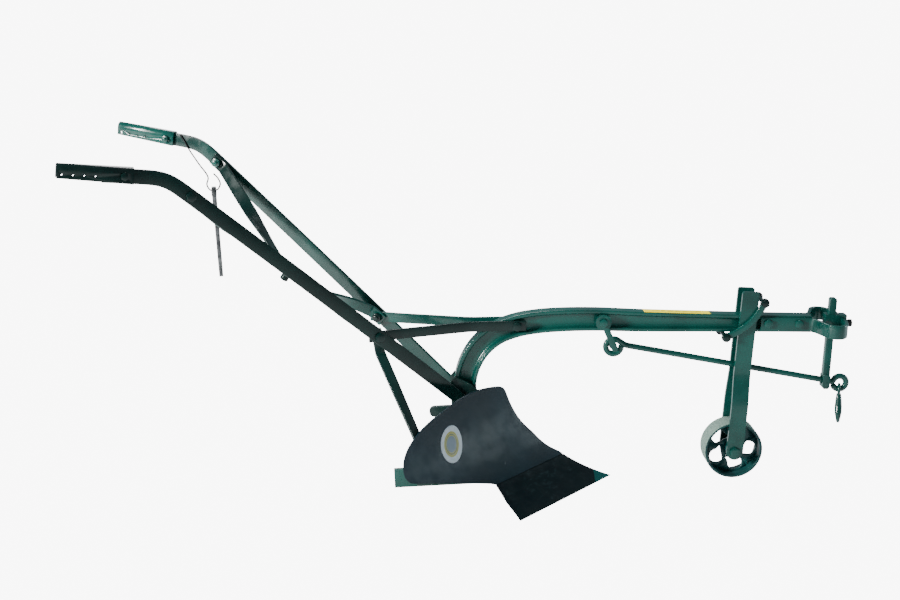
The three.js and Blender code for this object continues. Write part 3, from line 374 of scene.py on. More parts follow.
def makeRub():
    # Rub marks: noise stretched along one way, thinned to streaks, and gathered in patches.
    group, entry, leave = newGroup(
        "rubMarks",
        [("Vector", "NodeSocketVector", None), ("Stretch", "NodeSocketVector", (1.0, 1.0, 1.0)),
         ("Scale", "NodeSocketFloat", 90.0), ("Cover", "NodeSocketFloat", 0.5)],
        [("Mask", "NodeSocketFloat")])
    pull = node(group, "ShaderNodeVectorMath", operation="MULTIPLY")
    group.links.new(entry.outputs["Vector"], pull.inputs[0])
    group.links.new(entry.outputs["Stretch"], pull.inputs[1])
    streak = between(group, noise(group, pull.outputs[0], entry.outputs["Scale"], 5.0, 0.7), 0.5, 0.7)
    where = between(group, noise(group, entry.outputs["Vector"], 11.0, 4.0, 0.6), 0.45, 0.65)
    edge = calc(group, "MULTIPLY", streak, where)
    group.links.new(calc(group, "MULTIPLY", edge, entry.outputs["Cover"], clamp=True), leave.inputs["Mask"])
    return group


enamelSkin, dustVeil, rubMarks = makeEnamelSkin(), makeDust(), makeRub()


def placeGroup(tree, group, vector, **values):
    made = node(tree, "ShaderNodeGroup", node_tree=group)
    feed(tree, made.inputs["Vector"], vector)
    for label, value in values.items():
        feed(tree, made.inputs[label.replace("_", " ")], value)
    return made


def startMaterial(name):
    material = bpy.data.materials.new(name)
    material.use_nodes = True
    tree = material.node_tree
    surface = tree.nodes["Principled BSDF"]
    place = node(tree, "ShaderNodeTexCoord").outputs["Object"]
    return material, tree, surface, place


def bumped(tree, surface, height, strength, distance):
    bump = node(tree, "ShaderNodeBump")
    bump.inputs["Strength"].default_value = strength
    bump.inputs["Distance"].default_value = distance
    feed(tree, bump.inputs["Height"], height)
    feed(tree, surface.inputs["Normal"], bump.outputs["Normal"])


dustColour = linear(88, 124, 112)


def enamel(name, look):
    # Enamel: two depths of one colour by the cloud, a grey-green veil where dust lies,
    # and small rubs to a paler coat.
    material, tree, surface, place = startMaterial(name)
    skin = placeGroup(tree, enamelSkin, place, Cloud_Scale=look["cloud"], Peel_Scale=look["peel"])
    dust = placeGroup(tree, dustVeil, place, Amount=look["dust"])
    rub = placeGroup(tree, rubMarks, place, Stretch=look["rubWay"], Scale=look["rubScale"],
                     Cover=look["rub"])
    coat = mixColour(tree, skin.outputs["Depth"], linear(*look["deep"]), linear(*look["thin"]))
    coat = mixColour(tree, rub.outputs["Mask"], coat, linear(*look["rubbed"]))
    feed(tree, surface.inputs["Base Color"], mixColour(tree, dust.outputs["Mask"], coat, dustColour))
    shine = between(tree, skin.outputs["Gloss"], 0.0, 1.0, look["smooth"], look["smooth"] + look["uneven"])
    worn = calc(tree, "ADD", calc(tree, "MULTIPLY", dust.outputs["Mask"], 0.5),
                calc(tree, "MULTIPLY", rub.outputs["Mask"], 0.25))
    feed(tree, surface.inputs["Roughness"], calc(tree, "ADD", shine, worn, clamp=True))
    surface.inputs["Specular IOR Level"].default_value = look["shine"]
    surface.inputs["Coat Weight"].default_value = look["coat"]
    surface.inputs["Coat Roughness"].default_value = 0.08
    bumped(tree, surface, skin.outputs["Height"], look["relief"], 0.0006)
    return material


baseLook = dict(cloud=7.0, peel=420.0, dust=0.06, rub=0.16, rubWay=(1.0, 1.0, 1.0), rubScale=120.0,
                rubbed=(30, 132, 112), smooth=0.2, uneven=0.14, shine=0.5, coat=0.25, relief=0.22)
greenPaint = enamel("greenEnamel", baseLook | dict(deep=(0, 60, 54), thin=(0, 84, 75)))
# The handles' enamel in two copies: the near handle's dark one is painted shade, and the far handle's lighter
# one is painted light.
nearHandleShadedPaint = enamel("handleEnamelPaintedShade", baseLook | dict(
    deep=(0, 24, 22), thin=(0, 36, 32), rub=0.12, shine=0.35, rubbed=(38, 84, 78), rubWay=(0.4, 1.0, 0.4)))
farHandleLitPaint = enamel("farHandleEnamelLit", baseLook | dict(
    deep=(0, 42, 38), thin=(0, 60, 54), rubWay=(0.4, 1.0, 0.4)))
# A shaded copy of the green enamel: its darker colour is painted shade.
shadedGreenPaint = enamel("greenEnamelPaintedShade", baseLook | dict(
    deep=(0, 24, 22), thin=(0, 34, 31), rub=0.1, dust=0.05, shine=0.35, rubbed=(38, 84, 78)))
# The frog's cast enamel: a darker copy of the green, which is painted shade, with a coarser peel.
frogShadedPaint = enamel("castEnamelPaintedShade", baseLook | dict(
    deep=(0, 30, 27), thin=(0, 42, 38), peel=160.0, relief=0.5, smooth=0.3))
boardPaint = enamel("boardEnamel", baseLook | dict(
    deep=(0, 24, 37), thin=(0, 34, 49), cloud=5.0, dust=0.05, rub=0.14, rubWay=(0.25, 0.25, 1.0),
    rubScale=160.0, rubbed=(34, 66, 78), smooth=0.38, uneven=0.12, shine=0.3, coat=0.05))


def sharePaintFinish():
    # The share: blue enamel darkened to near-black, which is painted shade, and paler teal over the last
    # stretch of the point.
    look = dict(deep=(0, 8, 15), thin=(0, 13, 22), point=(0, 84, 82), pointFrom=0.250, pointTo=0.253)
    material, tree, surface, place = startMaterial("shareEnamelPaintedShade")
    skin = placeGroup(tree, enamelSkin, place, Cloud_Scale=6.0, Peel_Scale=420.0)
    dust = placeGroup(tree, dustVeil, place, Amount=0.05)
    rub = placeGroup(tree, rubMarks, place, Stretch=(0.3, 0.3, 1.0), Scale=170.0, Cover=0.25)
    split = node(tree, "ShaderNodeSeparateXYZ")
    feed(tree, split.inputs[0], place)
    ragged = calc(tree, "ADD", split.outputs["X"],
                  calc(tree, "MULTIPLY", noise(tree, place, 60.0, 4.0, 0.6), 0.008))
    point = between(tree, ragged, look["pointFrom"], look["pointTo"])
    coat = mixColour(tree, skin.outputs["Depth"], linear(*look["deep"]), linear(*look["thin"]))
    coat = mixColour(tree, point, coat, linear(*look["point"]))
    coat = mixColour(tree, rub.outputs["Mask"], coat, linear(60, 84, 90))
    feed(tree, surface.inputs["Base Color"], mixColour(tree, dust.outputs["Mask"], coat, dustColour))
    shine = between(tree, skin.outputs["Gloss"], 0.0, 1.0, 0.28, 0.42)
    feed(tree, surface.inputs["Roughness"],
         calc(tree, "ADD", shine, calc(tree, "MULTIPLY", rub.outputs["Mask"], 0.2), clamp=True))
    surface.inputs["Specular IOR Level"].default_value = 0.3
    bumped(tree, surface, skin.outputs["Height"], 0.2, 0.0006)
    return material


def treadFinish():
    # The wheel: dark teal inside, and where the "tread" attribute says, pale scuffed grey-green
    # with darker specks.
    look = dict(inside=(8, 50, 52), insideThin=(14, 72, 72), scuffed=(150, 172, 160), bare=(104, 128, 120))
    material, tree, surface, place = startMaterial("wheelEnamel")
    skin = placeGroup(tree, enamelSkin, place, Cloud_Scale=22.0, Peel_Scale=260.0)
    dust = placeGroup(tree, dustVeil, place, Amount=0.2)
    rub = placeGroup(tree, rubMarks, place, Stretch=(1.0, 0.3, 1.0), Scale=240.0, Cover=0.8)
    tread = node(tree, "ShaderNodeAttribute", attribute_name="tread").outputs["Fac"]
    speckle = between(tree, noise(tree, place, 420.0, 4.0, 0.7), 0.42, 0.62)
    ground = mixColour(tree, speckle, linear(*look["bare"]), linear(*look["scuffed"]))
    coat = mixColour(tree, skin.outputs["Depth"], linear(*look["inside"]), linear(*look["insideThin"]))
    coat = mixColour(tree, calc(tree, "MULTIPLY", rub.outputs["Mask"], 0.35), coat, linear(90, 130, 122))
    chipped = between(tree, calc(tree, "ADD", tread, calc(tree, "MULTIPLY", speckle, 0.25)), 0.45, 0.7)
    coat = mixColour(tree, chipped, coat, ground)
    feed(tree, surface.inputs["Base Color"], mixColour(tree, dust.outputs["Mask"], coat, dustColour))
    feed(tree, surface.inputs["Roughness"], between(tree, chipped, 0.0, 1.0, 0.3, 0.62))
    surface.inputs["Specular IOR Level"].default_value = 0.4
    grit = calc(tree, "ADD", skin.outputs["Height"],
                calc(tree, "MULTIPLY", speckle, calc(tree, "MULTIPLY", chipped, 0.8)))
    bumped(tree, surface, grit, 0.45, 0.0007)
    return material


def steelFinish(name, look):
    # Plain forged steel: a mill-scale cloud over metal, file streaks and a little brown in the pits.
    material, tree, surface, place = startMaterial(name)
    scale = noise(tree, place, look["cloud"], 6.0, 0.65, 0.6)
    rub = placeGroup(tree, rubMarks, place, Stretch=look["way"], Scale=260.0, Cover=0.9)
    body = mixColour(tree, between(tree, scale, 0.36, 0.64), linear(*look["dark"]), linear(*look["light"]))
    rust = between(tree, noise(tree, place, 90.0, 5.0, 0.7), 0.6, 0.75, 0.0, look["rust"])
    body = mixColour(tree, rust, body, linear(84, 58, 40))
    feed(tree, surface.inputs["Base Color"],
         mixColour(tree, rub.outputs["Mask"], body, linear(*look["bright"])))
    surface.inputs["Metallic"].default_value = look["metal"]
    feed(tree, surface.inputs["Roughness"],
         between(tree, scale, 0.3, 0.7, look["smooth"] + 0.2, look["smooth"]))
    bumped(tree, surface, scale, 0.35, 0.0005)
    return material


shareShadedPaint, treadPaint = sharePaintFinish(), treadFinish()
toolSteel = steelFinish("forgedSteel", dict(
    cloud=60.0, way=(1.0, 1.0, 0.15), dark=(64, 66, 68), light=(112, 114, 116), bright=(172, 172, 170),
    rust=0.35, metal=0.7, smooth=0.34))
blackWire = steelFinish("blackWire", dict(
    cloud=160.0, way=(1.0, 1.0, 1.0), dark=(16, 18, 20), light=(34, 36, 38), bright=(70, 70, 72),
    rust=0.15, metal=0.5, smooth=0.4))
screwSteel = steelFinish("screwSteel", dict(
    cloud=120.0, way=(1.0, 0.2, 1.0), dark=(20, 24, 26), light=(46, 50, 52), bright=(104, 106, 106),
    rust=0.1, metal=0.6, smooth=0.32))
print("finishes made")


beamLook = dict(line=[[-61, 112], [-61, 190], [-59, 256], [-47, 302], [-21, 343], [16, 372], [62, 388],
                      [110, 394.5], [165, 396], [240, 393.5], [345, 385], [512, 374], [733, 360]],
                rearDepth=50, noseDepth=38, taperFrom=0.35, width=32, web=8, lip=1.6, under=1.4,
                edgeDepth=7.8, rootDepth=9.1, fillet=5.5, boss=12, bossAt=(63, 391), rings=260)


def beamCurve(count):
    # The beam's line and half its depth, which thins from the bend to the nose.
    look = beamLook
    line = throughPoints(look["line"], count)
    share = np.clip((np.linspace(0, 1, count) - look["taperFrom"]) / (1 - look["taperFrom"]), 0, 1)
    half = (look["rearDepth"] + (look["noseDepth"] - look["rearDepth"]) * eased(share)) / 2
    return line, half


def quarterSection():
    # From the middle of the flange's face to the web: (sideways, depth below the face), with a rounded lip,
    # a slightly sloped inner face and a fillet into the web.
    look = beamLook
    edge, web = look["width"] / 2, look["web"] / 2
    turn = np.linspace(0, np.pi / 2, 5)
    out, down = np.sin(turn), 1 - np.cos(turn)
    lip = np.stack([edge - look["lip"] + look["lip"] * out, look["lip"] * down], -1)
    under = np.stack([edge - look["under"] * down, look["edgeDepth"] - look["under"] * (1 - out)], -1)
    fillet = np.stack([web + look["fillet"] * (1 - out), look["rootDepth"] + look["fillet"] * down], -1)
    return np.vstack([[[0, 0], [edge / 2, 0]], lip, under, fillet])


def makeBeam():
    # I-section along the beam's line: the height of a point is the half depth less its depth
    # below the nearer face.
    line, half = beamCurve(beamLook["rings"])
    along = unit(np.gradient(line, axis=0))
    upward = np.stack([-along[:, 1], along[:, 0]], -1)
    quarter = quarterSection()
    right = np.vstack([quarter, quarter[::-1]])
    sign = np.concatenate([np.ones(len(quarter)), -np.ones(len(quarter))])
    whole = np.vstack([right, (right * [-1, 1])[::-1][1:-1]])
    signs = np.concatenate([sign, sign[::-1][1:-1]])
    height = signs[None] * (half[:, None] - whole[None, :, 1])
    xz = line[:, None] + upward[:, None] * height[..., None]
    sideways = np.broadcast_to(whole[None, :, 0], height.shape)
    section = capped(np.stack([xz[..., 0], sideways, xz[..., 1]], -1))
    makePiece("beam_bar", [section], "frame", greenPaint, ["beam"], bevel=0.6, segments=2, angle=60,
              slot="green_paint")
    x, z = beamLook["bossAt"]
    r, h = beamLook["boss"], beamLook["width"] / 2
    boss = [[0, -h], [r - 1, -h], [r, 1 - h], [r, h - 1], [r - 1, h], [0, h]]
    # The boss is in the shaded green, which is painted shade.
    makePiece("beam_boss", [turnedSolid(boss, [x, 0, z], [0, 1, 0], [1, 0, 0])], "frame", shadedGreenPaint,
              slot="dark_green_paint")


makeBeam()


boardLook = dict(edgeAngle=44.5, tipX=279, wallY=27.3, radius=300, start=28, shareThickness=8,
                 boardThickness=6, shareTop=60, shareEnd=[[43, 0], [17, 28], [-4, 60]])
edgeTurn = math.radians(boardLook["edgeAngle"])
startTurn = math.radians(boardLook["start"])


def slopeAt(z):
    return math.acos(math.cos(startTurn) - z / boardLook["radius"])


def backAt(z, depth):
    # How far back from the edge the surface is at a height. The slope there is
    # acos((R cos(start) - z) / (R + depth)), and the way back is (R + depth) sin(slope) - R sin(start).
    radius = boardLook["radius"] + depth
    slope = np.arccos((boardLook["radius"] * math.cos(startTurn) - z) / radius)
    return radius * np.sin(slope) - boardLook["radius"] * math.sin(startTurn)


def boardPoint(x, z, depth=0.0):
    # The hollow surface: a level line parallel to the edge through every height.
    back = backAt(z, depth)
    along = (boardLook["tipX"] - math.sin(edgeTurn) * back - x) / math.cos(edgeTurn)
    y = boardLook["wallY"] + math.cos(edgeTurn) * back - math.sin(edgeTurn) * along
    return np.stack(np.broadcast_arrays(x, y, z), -1)


def wallX(z, depth=0.0):
    # Where the surface meets the landside's plane.
    return boardLook["tipX"] - backAt(z, depth) / math.sin(edgeTurn)


def sheetSolid(front, back):
    # Two grids of the same size, front and back, closed round their four sides.
    rows, columns = front.shape[:2]
    quads = gridFaces(rows, columns)
    count = rows * columns
    index = np.arange(count).reshape(rows, columns)
    rim = np.concatenate([index[0], index[1:, -1], index[-1, -2::-1], index[-2:0:-1, 0]])
    nextRim = np.roll(rim, -1)
    wall = np.stack([rim, nextRim, nextRim + count, rim + count], -1).tolist()
    faces = quads + [[v + count for v in q] for q in quads] + wall
    return np.vstack([front.reshape(-1, 3), back.reshape(-1, 3)]), faces


def makeShare():
    # Between the outer end's line and the landside, from the ground to the joint; the back is cut flat
    # at the ground.
    outerEnd = np.array(boardLook["shareEnd"], float)
    u = np.linspace(0, 1, 90)[None, :]
    z = np.linspace(0, 1, 40)[:, None] * boardLook["shareTop"]
    left = np.interp(z, outerEnd[:, 1], outerEnd[:, 0])

    def layer(depth):
        return boardPoint(left + (wallX(z, depth) - left) * u, z + 0 * u, depth)

    # The share's near-black enamel is painted shade.
    makePiece("share_blade", [sheetSolid(layer(0.0), layer(boardLook["shareThickness"]))], "frame",
              shareShadedPaint, ["share"], bevel=0.5, segments=2, angle=50, slot="board_paint")


def loopSolid(front, back):
    # Two stacks of rings about a middle point, closed at the rim: rings are rows, and each layer
    # has its middle point first.
    rings, count = front.shape[0], front.shape[1]
    layer = rings * count
    quads = gridFaces(rings, count, closeColumns=True)
    faces = quads + [[v + layer for v in q] for q in quads]
    outer = np.arange((rings - 1) * count, rings * count)
    nextOuter = np.roll(outer, -1)
    faces += np.stack([outer, nextOuter, nextOuter + layer, outer + layer], -1).tolist()
    return np.vstack([front.reshape(-1, 3), back.reshape(-1, 3)]), faces


mouldboardLook = dict(
    shin=[[168, 61], [130, 86], [96, 119], [66, 155], [47, 192], [35, 227]],
    crown=[[30, 236], [20, 243], [4, 248], [-18, 252.5], [-42, 255], [-80, 249], [-115, 238], [-150, 224]],
    tail=[[-176, 208], [-197, 186], [-206, 163], [-203, 140], [-193, 127], [-181, 121]],
    foot=[[-112, 98], [-16, 66], [-4, 61]], middle=[-40, 150], rings=34)


def makeMouldboard():
    # Rings from the middle out to the outline, laid on the hollow surface. The outline keeps its corners
    # at the shin's ends and at the joint and is soft along the crown and tail.
    look = mouldboardLook
    shin = throughPoints(look["shin"], 70)
    crown = throughPoints(look["crown"] + look["tail"], 150)
    foot = np.vstack([look["tail"][-1], look["foot"]])
    outline = np.vstack([shin, crown, evenly(foot, 50)[1:],
                         evenly([look["foot"][-1], look["shin"][0]], 40)[1:-1]])
    middle = np.array(look["middle"], float)
    share = np.linspace(0.0, 1, look["rings"])[:, None, None]
    xz = middle + share * (outline - middle)

    def layer(depth):
        x = np.minimum(xz[..., 0], wallX(xz[..., 1], depth))
        return boardPoint(x, xz[..., 1], depth)

    makePiece("mouldboard_sheet", [loopSolid(layer(0.0), layer(boardLook["boardThickness"]))], "frame",
              boardPaint, ["mouldboard"], bevel=0.9, segments=2, angle=50, slot="board_paint")


makeShare()
makeMouldboard()

emblemLook = dict(at=(-99, 165), wide=32, tall=42, lean=-27, lift=0.25, sink=0.1)


def emblemFinish():
    # A plain oval transfer: white border, ochre ring with a dark line in it, grey-blue middle.
    # The UV map is the place in the oval, 0 to 1.
    material, tree, surface, place = startMaterial("ovalTransfer")
    centred = node(tree, "ShaderNodeVectorMath", operation="SUBTRACT")
    feed(tree, centred.inputs[0], node(tree, "ShaderNodeUVMap", uv_map="oval").outputs["UV"])
    centred.inputs[1].default_value = (0.5, 0.5, 0.0)
    length = node(tree, "ShaderNodeVectorMath", operation="LENGTH")
    feed(tree, length.inputs[0], centred.outputs[0])
    reach = calc(tree, "MULTIPLY", length.outputs["Value"], 2.0)
    wave = calc(tree, "MULTIPLY", noise(tree, place, 300.0, 3.0, 0.6), 0.02)
    reach = calc(tree, "ADD", reach, wave)
    white, ochre, middle = linear(206, 210, 218), linear(168, 158, 84), linear(112, 122, 138)
    darkLine = linear(92, 96, 84)
    body = middle
    for low, high, colour in [(0.44, 0.47, ochre), (0.50, 0.52, darkLine), (0.54, 0.56, ochre),
                              (0.68, 0.71, white)]:
        body = mixColour(tree, between(tree, reach, low, high), body, colour)
    scuff = between(tree, noise(tree, place, 160.0, 5.0, 0.7), 0.5, 0.75, 0.0, 0.35)
    feed(tree, surface.inputs["Base Color"], mixColour(tree, scuff, body, linear(120, 132, 146)))
    feed(tree, surface.inputs["Roughness"], between(tree, noise(tree, place, 90.0), 0.3, 0.7, 0.3, 0.45))
    bumped(tree, surface, noise(tree, place, 500.0), 0.15, 0.0003)
    return material


def makeEmblem():
    # An oval on the hollow surface: level offset along the edge's way and the rest up the slope,
    # turned by the lean.
    look = emblemLook
    angle = np.linspace(0, 2 * np.pi, 96, endpoint=False)[None, :]
    share = np.linspace(0, 1, 16)[:, None]
    flat = np.stack([share * np.cos(angle), share * np.sin(angle)], -1)
    lean = math.radians(look["lean"])
    level = flat[..., 0] * look["wide"] * math.cos(lean) - flat[..., 1] * look["tall"] * math.sin(lean)
    rise = flat[..., 0] * look["wide"] * math.sin(lean) + flat[..., 1] * look["tall"] * math.cos(lean)
    radius = boardLook["radius"]
    x0, z0 = look["at"]
    slope0 = slopeAt(z0)
    slope = slope0 + rise / radius
    z = radius * math.cos(startTurn) - radius * np.cos(slope)
    back = radius * (np.sin(slope) - math.sin(slope0))
    x = x0 + level * math.cos(edgeTurn) - math.sin(edgeTurn) * back
    front, back = boardPoint(x, z, -look["lift"]), boardPoint(x, z, look["sink"])
    piece = makePiece("oval_transfer", [loopSolid(front, back)], "frame", emblemFinish(), slot="board_paint")
    flatTwice = np.vstack([flat.reshape(-1, 2)] * 2)
    made = (np.vstack([front.reshape(-1, 3), back.reshape(-1, 3)]) + frameShift) / 1000
    nearest = ((vertexPlaces(piece.data)[:, None] - made[None])**2).sum(-1).argmin(1)
    writeUv(piece.data, "oval", flatTwice[nearest] * 0.5 + 0.5)


makeEmblem()
print("beam, share and mouldboard made")


def edgeBar(line, plan, side, width, thickness, corner, soft, count):
    # A bar on edge: its side view line moved off by the profile's width, at the plan's y for that x,
    # then moved off by the profile's thickness along the plan's outward normal.
    path = softened(line, count, soft)
    along = unit(np.gradient(path, axis=0))
    normal = np.stack([-along[:, 1], along[:, 0]], -1)
    outline = flatBarOutline(width, thickness, corner)
    xz = path[:, None] + normal[:, None] * outline[None, :, :1]
    y, slope = plan(xz[..., 0])
    off = outline[None, :, 1] / np.sqrt(1 + slope**2)
    points = np.stack([xz[..., 0] - side * slope * off, y + side * off, xz[..., 1]], -1)
    return capped(points)


handleLook = dict(line=[[-50, 206], [-246, 402], [-430, 584], [-600, 750.5], [-630, 779.5],
                        [-642, 789.5], [-654, 796.5], [-668, 801], [-709, 808.5], [-765, 817.5]],
                  width=30, thickness=8, footY=28.6, splay=0.37, splayFrom=-84, splayBend=6, corner=1.8)
handleTurn = math.atan(handleLook["splay"])


def handlePlan(side):
    # Straight along at the foot's y, then a straight splay, with a soft bend between:
    # y = foot + splay * bend * log(1 + exp(reach / bend)).
    def plan(x):
        bend = handleLook["splayBend"]
        reach = (handleLook["splayFrom"] - x) / bend
        y = handleLook["footY"] + handleLook["splay"] * bend * np.logaddexp(0, reach)
        return side * y, -side * handleLook["splay"] / (1 + np.exp(-reach))
    return plan


def handleHeight(x):
    line = np.array(handleLook["line"])[::-1]
    return np.interp(x, line[:, 0], line[:, 1])


def besideHandle(side, x, outward):
    y = side * (handleLook["footY"] + handleLook["splay"] * max(handleLook["splayFrom"] - x, 0))
    return np.array([x + outward * math.sin(handleTurn), y + side * outward * math.cos(handleTurn),
                     handleHeight(x)])


def handleFace(side):
    return np.array([math.sin(handleTurn), side * math.cos(handleTurn), 0])


for side, hand in sides:
    look = handleLook
    bar = edgeBar(look["line"], handlePlan(side), side, look["width"], look["thickness"], look["corner"],
                  26, 240)
    # The near handle gets the painted shade copy, and the far one the painted light copy.
    makePiece(f"handle_bar_{hand}", [bar], "frame", nearHandleShadedPaint if side < 0 else farHandleLitPaint,
              [f"handle_{hand}"], bevel=0.8, segments=2, angle=60, slot="dark_green_paint")

gripLook = dict(bevel=0.5, angle=32)

for side, hand in sides:
    # The near grip is in the shaded green, which is painted shade.
    roundedCopy(f"grip_{hand}", "frame", shadedGreenPaint if side < 0 else greenPaint, bevel=gripLook["bevel"],
                name=f"grip_shell_{hand}", angle=gripLook["angle"], segments=2, slot="green_paint")

barEdges = dict(bevel=2.0, segments=3, angle=60, slot="green_paint")
stayLook = dict(width=23, thickness=6, beamX=63, beamZ=391, beamY=19.3, corner=1.3, handleX=-246, clear=0.3,
                overHandle=22, overBeam=20)
firstInner = -(handleLook["thickness"] / 2 + stayLook["clear"] + stayLook["thickness"] / 2)
stackStep = stayLook["thickness"] + stayLook["clear"]


def makeBeamStays():
    look = stayLook
    for side, hand in sides:
        start, end = look["handleX"] - look["overHandle"], look["beamX"] + look["overBeam"]
        onHandle = [besideHandle(side, x, firstInner)[:2] for x in (start, look["handleX"] + 42)]
        plan = softened(onHandle + [[look["beamX"] - 105, side * look["beamY"]],
                                    [end, side * look["beamY"]]], 300, 24)
        slope = np.gradient(plan[:, 1], plan[:, 0])
        line = [[start, handleHeight(look["handleX"])], [end, look["beamZ"]]]

        def planAt(x):
            return np.interp(x, plan[:, 0], plan[:, 1]), np.interp(x, plan[:, 0], slope)

        bar = edgeBar(line, planAt, side, look["width"], look["thickness"], look["corner"], 4, 140)
        # The near stay is in the shaded green, which is painted shade.
        makePiece(f"beam_stay_bar_{hand}", [bar], "frame", shadedGreenPaint if side < 0 else greenPaint,
                  [f"beam_stay_{hand}"], **barEdges)


def twisted(start, end, startFace, endFace, steps):
    # From one place to another while the face turns evenly: position straight, face by the eased share.
    share = np.linspace(0, 1, steps)[:, None]
    return start + (end - start) * share, unit(startFace + (endFace - startFace) * eased(share))


def ribbon(stations, width, thickness, corner):
    # A flat bar through stations of (places, faces), its thickness kept to the face at each place.
    path, faces = (np.vstack(list(part)) for part in zip(*stations))
    return carried(path, faces, flatBarOutline(width, thickness, corner))


braceLook = dict(width=28, cross=(-441, 0, 536), upperX=-606)


def flatten(way, face):
    return unit(way - face * (way * face).sum())


def crossFaceOf():
    cross = np.array(braceLook["cross"], float)
    upper = besideHandle(1, braceLook["upperX"], firstInner)
    lower = besideHandle(-1, stayLook["handleX"], firstInner - stackStep * 2)
    fall = unit((cross - upper) + (lower - cross))
    return unit(np.cross(fall, fall * [1, -1, 1]))


crossFace = crossFaceOf()


def makeBrace(side, name, depth, stack):
    top = besideHandle(side, braceLook["upperX"], firstInner)
    bottom = besideHandle(-side, stayLook["handleX"], firstInner - stackStep * (stack - 1))
    middle = np.array(braceLook["cross"], float) + crossFace * depth
    topFace, bottomFace = -handleFace(side), handleFace(-side)
    topWay, bottomWay = flatten(middle - top, topFace), flatten(bottom - middle, bottomFace)
    middleWay = flatten(bottom - top, crossFace)
    stations = [
        (np.array([top - topWay * 15, top - topWay * 4]), np.array([topFace, topFace])),
        twisted(top + topWay * 17, middle - middleWay * 27, topFace, crossFace, 40),
        (np.array([middle - middleWay * 10, middle, middle + middleWay * 10]), np.tile(crossFace, (3, 1))),
        twisted(middle + middleWay * 27, bottom - bottomWay * 19, crossFace, bottomFace, 40),
        (np.array([bottom + bottomWay * 4, bottom + bottomWay * 15]), np.array([bottomFace, bottomFace])),
    ]
    bar = ribbon(stations, braceLook["width"], stayLook["thickness"], stayLook["corner"])
    # The upper brace is in the shaded green, which is painted shade.
    makePiece(name + "_bar", [bar], "frame", shadedGreenPaint if side > 0 else greenPaint, [name], **barEdges)


boardStayLook = dict(board=(-159.0, 172.0), lean=0.12)


def makeBoardStay():
    # Down from the near handle's inner face, turning to lie flat on the back of the board.
    lean = boardStayLook["lean"]
    top = besideHandle(-1, stayLook["handleX"], firstInner - stackStep)
    down = unit(np.array([lean * math.cos(handleTurn), lean * math.sin(handleTurn), -1]))
    topFace = handleFace(-1)
    x, z = boardStayLook["board"]
    slope = slopeAt(z)
    backWay = np.array([-math.sin(edgeTurn), math.cos(edgeTurn), 0])
    bottomFace = -backWay * math.sin(slope) + np.array([0, 0, math.cos(slope)])
    gap = boardLook["boardThickness"] + stayLook["clear"] + stayLook["thickness"] / 2
    bottom = boardPoint(x, z) - bottomFace * gap
    bottomDown = -backWay * math.cos(slope) - np.array([0, 0, math.sin(slope)])
    stations = [
        (np.array([top - down * 15, top, top + down * 20]), np.tile(topFace, (3, 1))),
        twisted(top + down * 42, bottom - bottomDown * 24, topFace, bottomFace, 60),
        (np.array([bottom, bottom + bottomDown * 15]), np.tile(bottomFace, (2, 1))),
    ]
    bar = ribbon(stations, stayLook["width"], stayLook["thickness"], stayLook["corner"])
    # In the frog's darker enamel, which is painted shade.
    makePiece("mouldboard_stay_bar", [bar], "frame", frogShadedPaint, ["mouldboard_stay"], **barEdges)


makeBeamStays()
makeBrace(1, "brace_upper", stackStep / 2, 3)
makeBrace(-1, "brace_lower", -stackStep / 2, 2)
makeBoardStay()
print("handles, stays and braces made")


wheelLook = dict(radius=67, width=52, rim=7, web=7, windows=5, window=0.27, windowAt=0.53, lip=1.6, hub=16,
                 hubHalf=27.9, bore=7.4, turn=24, sector=(44, 116), middle=(1.5, 37))
wheelCentre = np.array([axleX, 0, wheelLook["radius"]], float)


def wheelSector(number):
    # One fifth of the disc: the window's edge and the sector's edge, both read off at the same directions
    # from one point inside the window, with a rounded lip at the window, front and back.
    look = wheelLook
    reach = look["radius"] - look["rim"]
    windowRadius = reach * look["window"]
    centre = (reach + look["hub"]) * look["windowAt"]
    window = np.vstack([arcLine(0, centre, windowRadius, -25, 180, 40),
                        [[-windowRadius, centre - windowRadius * 0.4],
                         [windowRadius * 1.15, centre - windowRadius * 1.2]]])
    window = evenly(np.vstack([window, window[:1]]), 241)[:-1]
    window = sum(np.roll(window, shift, 0) for shift in (0, 3, -3, 6, -6)) / 5
    low, high = look["sector"]
    inner, outer = look["hub"] - 2, reach + 2
    sector = np.vstack([arcLine(0, 0, outer, low, high, 40), arcLine(0, 0, inner, high, low, 40)])
    sector = evenly(np.vstack([sector, sector[:1]]), 600)[:-1]
    middle = np.array(look["middle"], float)
    angle = np.linspace(-np.pi, np.pi, 120, endpoint=False)

    def edgeAt(loop):
        polar = np.arctan2(loop[:, 1] - middle[1], loop[:, 0] - middle[0])
        order = np.argsort(polar)
        distance = np.linalg.norm(loop - middle, axis=1)
        return np.interp(angle, polar[order], distance[order], period=2 * np.pi)

    windowEdge, sectorEdge = edgeAt(window), edgeAt(sector)
    half = look["web"] / 2
    lip = np.linspace(-np.pi / 2, np.pi / 2, 7)
    offsets = np.concatenate([[np.inf, 3.0], look["lip"] * (1 - np.cos(lip)), [3.0, np.inf]])
    depths = np.concatenate([[half, half], -half * np.sin(lip), [-half, -half]])
    rows = np.minimum(windowEdge + offsets[:, None], sectorEdge)
    xz = middle + rows[..., None] * np.stack([np.cos(angle), np.sin(angle)], -1)
    turn = 2 * np.pi * number / look["windows"] + math.radians(look["turn"])
    x = xz[..., 0] * math.cos(turn) + xz[..., 1] * math.sin(turn)
    z = -xz[..., 0] * math.sin(turn) + xz[..., 1] * math.cos(turn)
    points = np.stack([x, np.broadcast_to(depths[:, None], x.shape), z], -1) + wheelCentre
    return points.reshape(-1, 3), gridFaces(len(rows), len(angle), closeRows=True, closeColumns=True)


